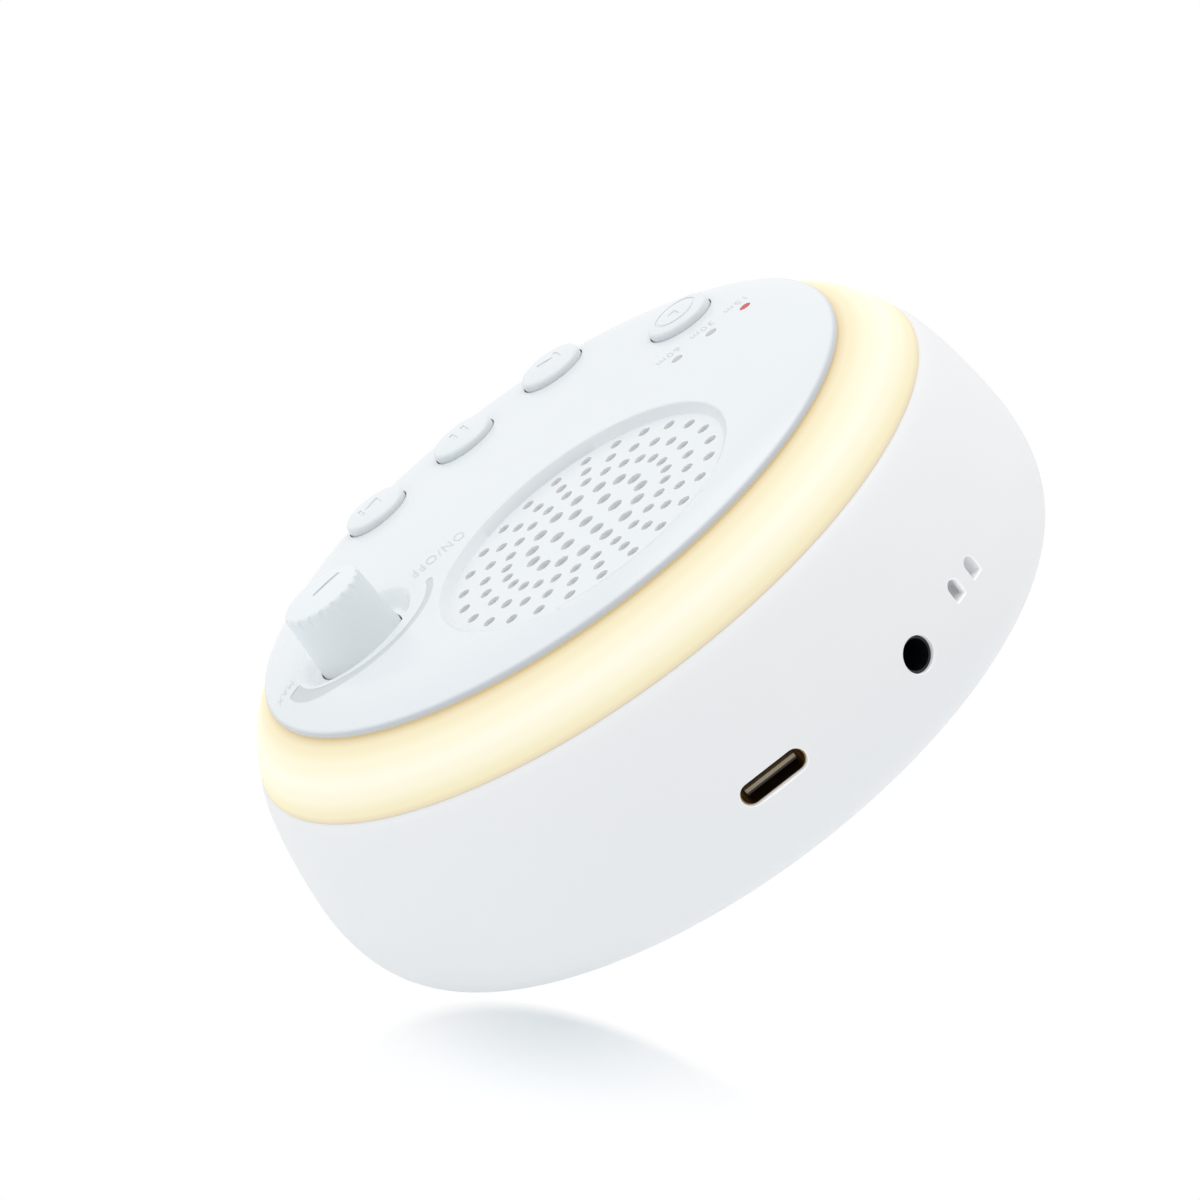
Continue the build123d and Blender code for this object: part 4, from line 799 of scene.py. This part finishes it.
crown_radii = [*np.linspace(0, SHOULDER_R, 23), *np.linspace(SHOULDER_R, PLATE_R - 0.2, 26)[1:]]
plate_profile = [(r, dome(r, 0)) for r in crown_radii] + rolled_rim + underside
recess_wall = [
    (RECESS_R + 0.5, below(-0.3, GRILLE_Z)),
    (RECESS_R + 0.2, below(-0.01, GRILLE_Z)),
    (RECESS_R + 0.04, below(0.06, GRILLE_Z)),
    (RECESS_R - 0.06, below(0.16, GRILLE_Z)),
    (RECESS_R - 0.14, below(0.3, GRILLE_Z)),
    (GRILLE_R + 0.05, GRILLE_Z),
]
past_dome = 1.008
dish_slope = [
    (DISH_FLOOR_R + t * (DISH_R - DISH_FLOOR_R), in_dish(past_dome * t * t * (3 - 2 * t)))
    for t in (i / 12 for i in range(13))
]
dish_wall = [(DISH_R + 0.5, below(-0.3)), *dish_slope[::-1]]
dish_wall += [(KNOB_HOLE_R + 0.06, DISH_Z), (KNOB_HOLE_R, DISH_Z - 0.06)]
round_cutters = [
    plate_cutter(recess_wall, 288, (0, GRILLE_Y)),
    plate_cutter(dish_wall, 192, (KNOB_X, KNOB_Y)),
    *[hole_cutter(place, BUTTON_HOLE_R) for place in button_places.values()],
    *[hole_cutter(place, LIGHT_R + 0.04, 0.06, 32) for place in light_places.values()],
]
plate = cored(turned(plate_profile, 512), joined(round_cutters))
plate = cored(plate, mark_cutter(), slot=2)
true_normals(plate, plate_profile)
gloss_white = finish(
    "gloss_white", moulded, (0.675, 0.71, 0.73), (0.665, 0.70, 0.725),
    roughness=0.2, spread=0.03, size=0.5, relief=0.0012, shader_values={"IOR": 1.52},
)
mark_grey = finish(
    "mark_grey", moulded, (0.54, 0.57, 0.59), (0.53, 0.56, 0.58),
    roughness=0.3, spread=0.03, size=0.5, relief=0.0012,
)
lid_white = gloss_white.copy()
lid_white.name = "lid_white"
dish_painted_light, painted_edge_shade = (0.82, 0.85, 0.87, 1), (0.50, 0.52, 0.55, 1)
tree = lid_white.node_tree
place = tree.nodes["Texture Coordinate"].outputs["Object"]
knob_place = (KNOB_X * MM, KNOB_Y * MM, 0)
from_knob = combined(tree, "SUBTRACT", place, knob_place, kind="VectorMath")
flat = combined(tree, "MULTIPLY", from_knob, (1, 1, 0), kind="VectorMath")
reach = combined(tree, "LENGTH", flat, kind="VectorMath", output="Value")
# Painted light: the knob's dish is coloured lighter than the plate, lifting the shade the knob
# casts into it.
dish_painted_light_mask = rising(tree, reach, (DISH_R + 0.3) * MM, (DISH_R - 1.1) * MM, "SMOOTHSTEP")
upright = height_above(tree)
# Painted shade: the plate's rim wall is coloured grey, darker than the plate, standing in for the
# shade on it.
edge_shade_mask = rising(tree, upright, (EDGE_Z + 0.3) * MM, (EDGE_Z - 0.08) * MM, "SMOOTHSTEP")
dish_lightened = mixed(tree, dish_painted_light_mask, tree.nodes["Group"].outputs["Colour"], dish_painted_light)
edge_shaded = mixed(tree, edge_shade_mask, dish_lightened, painted_edge_shade)
tree.links.new(edge_shaded, tree.nodes["Principled BSDF"].inputs["Base Color"])
piece("lid", plate, "machine", [lid_white, lid_white, mark_grey], "gloss_white", "top_plate")

# ---------------------------------------------------------------- speaker grille
# A thin disc of the same gloss ABS, let into the plate from below. Its 97 round holes are
# moulded in rings, the inner ones a little wider.
GRILLE_UNDER_Z, INNER_HOLE_R, OUTER_HOLE_R = 38.25, 0.96, 0.79
OVER_GRILLE_Z, UNDER_GRILLE_Z = 41.0, 37.0
hole_rings = [(0.0, 1, INNER_HOLE_R), (3.98, 6, INNER_HOLE_R), (7.44, 15, INNER_HOLE_R)]
hole_rings += [(radius, 25, OUTER_HOLE_R) for radius in (10.91, 13.89, 16.89)]
grille_profile = [
    (0.0, GRILLE_Z),
    (GRILLE_R / 2, GRILLE_Z),
    (GRILLE_R + 0.08, GRILLE_Z),
    (GRILLE_R + 0.08, GRILLE_UNDER_Z),
    (0.0, GRILLE_UNDER_Z),
]


def grille_hole(x, y, radius, rim=0.05):
    """Straight hole with a small rounded rim at the outer face."""
    profile = [
        (0.0, OVER_GRILLE_Z),
        (radius + rim + 0.2, OVER_GRILLE_Z),
        (radius + rim + 0.01, GRILLE_Z + 0.01),
        (radius + 0.4 * rim, GRILLE_Z - 0.25 * rim),
        (radius + 0.1 * rim, GRILLE_Z - 0.6 * rim),
        (radius, GRILLE_Z - 1.1 * rim),
        (radius, UNDER_GRILLE_Z),
        (0.0, UNDER_GRILLE_Z),
    ]
    return turned(profile, 36, (x, y))


holes = []
for radius, count, size in hole_rings:
    for i in range(count):
        a = radians(90) + tau * i / count
        holes.append(grille_hole(radius * cos(a), GRILLE_Y + radius * sin(a), size))
grille = cored(turned(grille_profile, 256, (0, GRILLE_Y)), joined(holes))
true_normals(grille, grille_profile, (0, GRILLE_Y))
# Painted light: the holes' walls get a lighter copy of the grille's white, lifting the shade inside
# them.
hole_painted_light = finish(
    "hole_painted_light", moulded, (0.82, 0.83, 0.84), (0.80, 0.81, 0.82),
    roughness=0.3, spread=0.03, size=0.3, relief=0.001,
)
piece("grille", grille, "machine", [gloss_white, hole_painted_light], "gloss_white", "speaker_grille")

# ---------------------------------------------------------------- buttons
# Round caps of the plate's gloss ABS, crowned, each with a sunk sign. A flange under the
# plate keeps them in, and each presses its switch through half a millimetre.
BUTTON_R, BUTTON_RISE, BUTTON_CROWN, BUTTON_EDGE, EDGE_DROP = 4.15, 1.4, 0.42, 0.42, 0.06
FLANGE_W, FLANGE_H = 0.85, 0.8
SIGN_DEPTH, CLOCK_INSIDE_R, CLOCK_R = 0.09, 2.5, 2.9
OVER_BUTTONS_Z = 50.0


def prism(corners, centre, height):
    """Cutter with upright sides whose floor follows a height function."""
    top = [(centre[0] + u, centre[1] + v, OVER_BUTTONS_Z) for u, v in corners]
    floor = [(x, y, height(x - centre[0], y - centre[1])) for x, y, z in top]
    return skin_between([floor, top])


def rounded(corners, radius, steps=4):
    """Polygon with its corners rounded."""
    out = []
    for i, here in enumerate(corners):
        before, after = Vector(corners[i - 1]), Vector(corners[(i + 1) % len(corners)])
        here = Vector(here)
        into, away = (before - here).normalized(), (after - here).normalized()
        angle = into.angle(away)
        reach = radius / tan(angle / 2)
        p, q = here + into * reach, here + away * reach
        for k in range(steps + 1):
            t = k / steps
            out.append(tuple((1 - t) ** 2 * p + 2 * t * (1 - t) * here + t * t * q))
    return out


clock_hands = [(-0.17, -0.2), (0.95, -0.2), (0.95, 0.14), (0.17, 0.14), (0.17, 1.5), (-0.17, 1.5)]
signs = {
    "previous": [
        rounded(box_corners(-1.55, 0, 0.5, 2.4), 0.12),
        rounded([(-1.1, 0.0), (1.2, -1.25), (1.2, 1.25)], 0.12),
    ],
    "pause": [
        rounded(box_corners(-0.85, 0, 0.6, 2.4), 0.15),
        rounded(box_corners(0.85, 0, 0.6, 2.4), 0.15),
    ],
    "next": [
        rounded([(-1.2, -1.25), (1.1, 0.0), (-1.2, 1.25)], 0.12),
        rounded(box_corners(1.55, 0, 0.5, 2.4), 0.12),
    ],
    "timer": [rounded(clock_hands, 0.08)],
}


def cap_height(u, v, top):
    """Height of a cap's crown at (u, v) from its centre."""
    sphere = (BUTTON_R**2 + BUTTON_CROWN**2) / (2 * BUTTON_CROWN)
    return top - sphere + sqrt(sphere**2 - u * u - v * v)


def clock_ring(x, y, top):
    """Cutter for the round case of the timer's clock sign."""
    above = -1.0
    corners = [(CLOCK_INSIDE_R, SIGN_DEPTH), (CLOCK_R, SIGN_DEPTH)]
    corners += [(CLOCK_R, above), (CLOCK_INSIDE_R, above)]
    rows = [
        [(u, v, cap_height(r, 0, top) - depth) for u, v in ring_points((x, y), r, 96)]
        for r, depth in corners
    ]
    return skin_between(rows, closed=True)


for key, (x, y) in button_places.items():
    top = dome(x, y) + BUTTON_RISE
    rim = BUTTON_R - BUTTON_EDGE
    cap_profile = [(rim * i / 10, cap_height(rim * i / 10, 0, top)) for i in range(11)]
    edge_z = cap_profile[-1][1]
    cap_profile += [
        (rim + BUTTON_EDGE * sin(t), edge_z - BUTTON_EDGE * (1 - cos(t)) - EDGE_DROP * sin(t))
        for t in (radians(k) for k in (15, 30, 45, 60, 75, 90))
    ]
    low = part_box(f"{key}_button")[0].z / MM
    cap_profile += [(BUTTON_R, low + FLANGE_H), (BUTTON_R + FLANGE_W, low + FLANGE_H)]
    cap_profile += [(BUTTON_R + FLANGE_W, low), (0.0, low)]
    cutters = [
        prism(corners, (x, y), lambda u, v: cap_height(u, v, top) - SIGN_DEPTH)
        for corners in signs[key]
    ]
    if key == "timer":
        cutters.append(clock_ring(x, y, top))
    cap = cored(turned(cap_profile, 192, (x, y)), joined(cutters))
    true_normals(cap, cap_profile, (x, y))
    piece(
        f"{key}_cap", cap, f"{key}_key", [gloss_white, gloss_white], "gloss_white", f"{key}_button"
    )

# ---------------------------------------------------------------- volume knob
# A tall tapered knob in white ABS, a little duller than the plate, pushed onto the D-shaped
# shaft. Twenty short flutes run out below its top edge, and a sunk line on top points at
# the mark.
KNOB_TOP_Z, KNOB_CROWN, KNOB_TOP_R, KNOB_BASE_R, KNOB_BOTTOM_Z = 47.1, 0.3, 5.1, 5.55, 37.6
KNOB_EDGE_Z, EDGE = KNOB_TOP_Z - KNOB_CROWN, 0.5
FLUTES, FLUTE_DEPTH, FLUTE_SLOPE, FLUTE_HALF_W, FLUTE_FOOT_Z = 20, 0.22, 0.185, 0.235, 41.5
KNOB_STEPS, KNOB_LEVELS, OVER_KNOB_Z = FLUTES * 24, 40, 50.0
POINTER_ANGLE, POINTER_REACH, POINTER_TAIL = radians(15), 3.4, 0.85
POINTER_W, POINTER_DEPTH = 0.66, 0.05


def knob_crown(radius):
    """Height of the knob's top at a distance from its axis."""
    return KNOB_TOP_Z - KNOB_CROWN * (radius / KNOB_TOP_R) ** 2


knob_side = [(KNOB_BASE_R, KNOB_BOTTOM_Z), (KNOB_BASE_R, DISH_Z)]
for step in range(1, KNOB_LEVELS + 1):
    z = FLUTE_FOOT_Z + (KNOB_EDGE_Z - EDGE - FLUTE_FOOT_Z) * (step / KNOB_LEVELS)
    taper = (KNOB_BASE_R - KNOB_TOP_R) * (z - DISH_Z) / (KNOB_EDGE_Z - DISH_Z)
    knob_side.append((KNOB_BASE_R - taper, z))
edge_z = knob_crown(KNOB_TOP_R - EDGE) - EDGE
knob_side += [
    (KNOB_TOP_R - EDGE * (1 - cos(t)), edge_z + EDGE * sin(t))
    for t in (radians(9 * k) for k in range(1, 11))
]


def fluted(radius, height, angle):
    """Radius of the knob's side, cut by grooves that lean outwards and so run out below."""
    across = abs((angle * FLUTES / tau + 0.5) % 1 - 0.5) / FLUTE_HALF_W
    if across >= 1:
        return radius
    groove_top = KNOB_TOP_R + (KNOB_EDGE_Z - height) * FLUTE_SLOPE
    return min(radius, groove_top - FLUTE_DEPTH * (1 - across**2))


knob_rows = [[(KNOB_X, KNOB_Y, KNOB_BOTTOM_Z)]]
turns = [tau * i / KNOB_STEPS for i in range(KNOB_STEPS)]
for radius, z in knob_side:
    row = [(a, fluted(radius, z, a)) for a in turns]
    knob_rows.append([(KNOB_X + r * cos(a), KNOB_Y + r * sin(a), z) for a, r in row])
for radius in (4.0, 3.2, 2.4, 1.6, 0.8):
    points = ring_points((KNOB_X, KNOB_Y), radius, KNOB_STEPS)
    knob_rows.append([(x, y, knob_crown(radius)) for x, y in points])
knob_rows.append([(KNOB_X, KNOB_Y, KNOB_TOP_Z)])
pointer = []
for u, v in pill(POINTER_REACH + POINTER_TAIL, POINTER_W, 0):
    u += (POINTER_TAIL - POINTER_REACH) / 2
    turned_u = u * cos(POINTER_ANGLE) - v * sin(POINTER_ANGLE)
    turned_v = u * sin(POINTER_ANGLE) + v * cos(POINTER_ANGLE)
    pointer.append((KNOB_X + turned_u, KNOB_Y + turned_v))
sunk = [(x, y, knob_crown(hypot(x - KNOB_X, y - KNOB_Y)) - POINTER_DEPTH) for x, y in pointer]
groove = skin_between([sunk, [(x, y, OVER_KNOB_Z) for x, y in pointer]])
knob = cored(skin_between(knob_rows), groove)
knob.polygons.foreach_set("use_smooth", [True] * len(knob.polygons))
knob.set_sharp_from_angle(angle=radians(38))
knob_white = finish(
    "knob_white", moulded, (0.70, 0.735, 0.755), (0.69, 0.73, 0.75),
    roughness=0.3, spread=0.03, size=0.5, relief=0.0012,
    shader_values={"IOR": 1.52, "Specular IOR Level": 0.15},
)
piece("knob", knob, "volume_control", [knob_white, mark_grey], "gloss_white", "volume_knob")

# ---------------------------------------------------------------- timer lights
# Three clear acrylic light pipes, flush with the plate, each over its LED on the board. The
# first one is lit red; the other two are off and look grey.
lit_red = finish(
    "lit_red", moulded, (0.33, 0.004, 0.004), (0.26, 0.003, 0.003),
    roughness=0.2, spread=0.05, size=0.3, relief=0.002,
    shader_values={"Emission Color": (0.9, 0.01, 0.01, 1), "Emission Strength": 0.2},
)
dress(lit_red, "timer_light_15")
unlit_grey = finish(
    "unlit_grey", moulded, (0.43, 0.45, 0.465), (0.39, 0.41, 0.425),
    roughness=0.25, spread=0.05, size=0.3, relief=0.002,
)
dress(unlit_grey, "timer_light_30", "timer_light_60")
dress(led_phosphor, "indicator_leds")

# ---------------------------------------------------------------- printed lettering
# Small pale grey pad print on the plate: minutes beside the timer lights, the two ends
# of the knob's turn, in a plain sans-serif.
CAPITAL_H, LETTER_GAP, STROKE_TRIM, INK_FILM = 0.7, 1.15, -0.008, 0.012
pad_ink = finish(
    "pad_ink", moulded, (0.56, 0.59, 0.61), (0.53, 0.56, 0.58),
    roughness=0.4, spread=0.05, size=0.2, relief=0.001,
)


def printed(name, words, centre, tall, width=1.0):
    """A word printed on the dome: thin letters raised by a film of ink, narrowed to a width."""
    curve = bpy.data.curves.new(name, "FONT")
    curve.body, curve.align_x, curve.align_y = words, "CENTER", "CENTER"
    curve.size, curve.space_character, curve.offset = tall / CAPITAL_H, LETTER_GAP, STROKE_TRIM
    writer = bpy.data.objects.new(name, curve)
    bpy.context.scene.collection.objects.link(writer)
    shown = writer.evaluated_get(bpy.context.evaluated_depsgraph_get())
    letters = bpy.data.meshes.new_from_object(shown)
    bpy.data.objects.remove(writer)
    form = bmesh.new()
    form.from_mesh(letters)
    for vertex in form.verts:
        x, y = vertex.co.x * width + centre[0], vertex.co.y + centre[1]
        vertex.co = (x, y, dome(x, y) + INK_FILM)
    form.to_mesh(letters)
    form.free()
    piece(name, letters, "machine", [pad_ink], "clear_light")


for minutes, (x, y) in light_places.items():
    printed(f"minutes_{minutes}", f"{minutes}m", (x + 0.2, y - 2.7), 1.5, 0.85)
printed("on_off_print", "ON/OFF", (13.65, -1.5), 2.4, 0.58)
printed("max_print", "MAX", (37.5, -1.8), 1.5, 0.62)

# ---------------------------------------------------------------- table, light and camera
# A white paper sweep with a painted soft shadow to one side of the machine: inside an oval it shows
# its real lit shade, plain white elsewhere, and it is clear from behind. A wide soft sun, white
# surroundings, and a long lens above the rear of the machine, rolled to one side.
FLOOR_GAP, SWEEP_SIDE = 0.004, 4.0
SHADE_EDGE = ((0.00045, -0.0818), (22.93, -5.379), (-26.94, -14.98))
SHADE_FADE = ((-0.006, -0.0115), (32.0, 0), (0, 17.5))
PLAIN_SKY, SKY_LOBES = 0.56, (((0, 0, 1), 0.6), ((-1, 0, 0), 0.45))
view_right = Vector((-0.7663, 0.3055, -0.5651)).normalized()
view_up = Vector((-0.6331, -0.2097, 0.7451)).normalized()
view_back = view_right.cross(view_up).normalized()
eye = Vector((0.0599, 0.4934, 0.2119))
lens = bpy.data.cameras.new("camera")
lens.lens, lens.sensor_width, lens.clip_start, lens.clip_end = 135.6, 36.0, 0.01, 20.0
camera = bpy.data.objects.new("camera", lens)
facing = Matrix((view_right, view_up, view_back)).transposed().to_4x4()
camera.matrix_world = Matrix.Translation(eye) @ facing
bpy.context.scene.collection.objects.link(camera)
bpy.context.scene.camera = camera

middle, tilt = Vector((0, 0, 0.022)), radians(15)
floor_up = (view_up * cos(tilt) + view_back * sin(tilt)).normalized()
floor_side = view_right
floor_deep = floor_up.cross(floor_side)
lowest = min(
    floor_up.dot(Vector((r * cos(a), r * sin(a), z)) * MM)
    for r, z in outer_bowl + [(PLATE_R, PLATE_RIM_Z)]
    for a in (tau * i / 180 for i in range(180))
)
foot_point = middle - floor_up * (floor_up.dot(middle) - lowest + FLOOR_GAP)
corners = box_corners(0, 0, SWEEP_SIDE, SWEEP_SIDE)
corners = [foot_point + floor_side * a + floor_deep * b for a, b in corners]
sweep = bpy.data.meshes.new("sweep")
sweep.from_pydata(corners, [], [(0, 1, 2, 3)])
floor = bpy.data.objects.new("sweep", sweep)
bpy.context.scene.collection.objects.link(floor)
if sweep.polygons[0].normal.dot(floor_up) < 0:
    sweep.flip_normals()
paper = bpy.data.materials.new("white_paper")
paper.use_nodes = True
tree = paper.node_tree
tree.nodes.remove(tree.nodes["Principled BSDF"])
spot = put(tree, "NewGeometry")


def seen_by(tree, *rays):
    """Value socket: 1 for the named rays, 0 for those that bring light to the machine."""
    path = put(tree, "LightPath")
    seen = path.outputs[rays[0]]
    for ray in rays[1:]:
        seen = combined(tree, "MAXIMUM", seen, path.outputs[ray])
    return seen


def oval(centre, across, along):
    """Value socket: 0 at a point on the sweep, 1 on the oval whose inverse half axes are given."""
    start = foot_point + floor_side * centre[0] + floor_deep * centre[1]
    offset = combined(tree, "SUBTRACT", spot.outputs["Position"], start, kind="VectorMath")
    flat = put(tree, "CombineXYZ")
    for label, (side, deep) in (("X", across), ("Y", along)):
        axis = floor_side * side + floor_deep * deep
        share = combined(tree, "DOT_PRODUCT", offset, axis, kind="VectorMath", output="Value")
        tree.links.new(share, flat.inputs[label])
    return combined(tree, "LENGTH", flat.outputs[0], kind="VectorMath", output="Value")


# Painted shadow: the ovals set where the sweep shows its real lit shade, with a crisp upper edge
# and a soft fade; elsewhere it is plain white.
edge = rising(tree, oval(*SHADE_EDGE), 1.0, 0.94)
fade = rising(tree, oval(*SHADE_FADE), 1.0, 0.0)
bare = combined(tree, "SUBTRACT", 1.0, combined(tree, "MULTIPLY", edge, fade))
plain = combined(tree, "MULTIPLY", seen_by(tree, "Is Camera Ray", "Is Glossy Ray"), bare)
matt = put(tree, "BsdfDiffuse", Color=(0.74, 0.76, 0.77, 1))
lift = put(tree, "Emission", Color=(0.92, 1.0, 1.05, 1), Strength=0.24)
shaded = put(tree, "AddShader", i0=matt.outputs[0], i1=lift.outputs[0])
white = put(tree, "Emission", Strength=1.0)
lit = put(tree, "MixShader", i0=plain, i1=shaded.outputs[0], i2=white.outputs[0])
clear = put(tree, "BsdfTransparent")
sides = put(
    tree, "MixShader", i0=spot.outputs["Backfacing"], i1=lit.outputs[0], i2=clear.outputs[0]
)
tree.links.new(sides.outputs[0], tree.nodes["Material Output"].inputs["Surface"])
sweep.materials.append(paper)

lamp = bpy.data.lights.new("key", "SUN")
lamp.energy, lamp.angle = 0.55, radians(50)
holder = bpy.data.objects.new("key", lamp)
holder.rotation_euler = Vector((-0.5, -0.05, 1.0)).to_track_quat("Z", "Y").to_euler()
bpy.context.scene.collection.objects.link(holder)

world = bpy.data.worlds.new("surroundings")
bpy.context.scene.world = world
world.use_nodes = True
tree = world.node_tree
seen = seen_by(tree, "Is Camera Ray", "Is Glossy Ray", "Is Transmission Ray")
sky = put(tree, "TexCoord")
strength = PLAIN_SKY
for direction, amount in SKY_LOBES:
    towards = combined(
        tree, "DOT_PRODUCT", sky.outputs["Generated"], direction, kind="VectorMath", output="Value"
    )
    lobe = combined(tree, "MAXIMUM", towards, 0.0)
    strength = combined(tree, "MULTIPLY_ADD", lobe, amount, strength)
strength = put(tree, "Mix", i0=seen, i2=strength, i3=1.0)
tree.links.new(strength.outputs[0], tree.nodes["Background"].inputs["Strength"])
tree.nodes["Background"].inputs["Color"].default_value = (1, 1, 1, 1)
bpy.context.scene.view_settings.view_transform = "Standard"
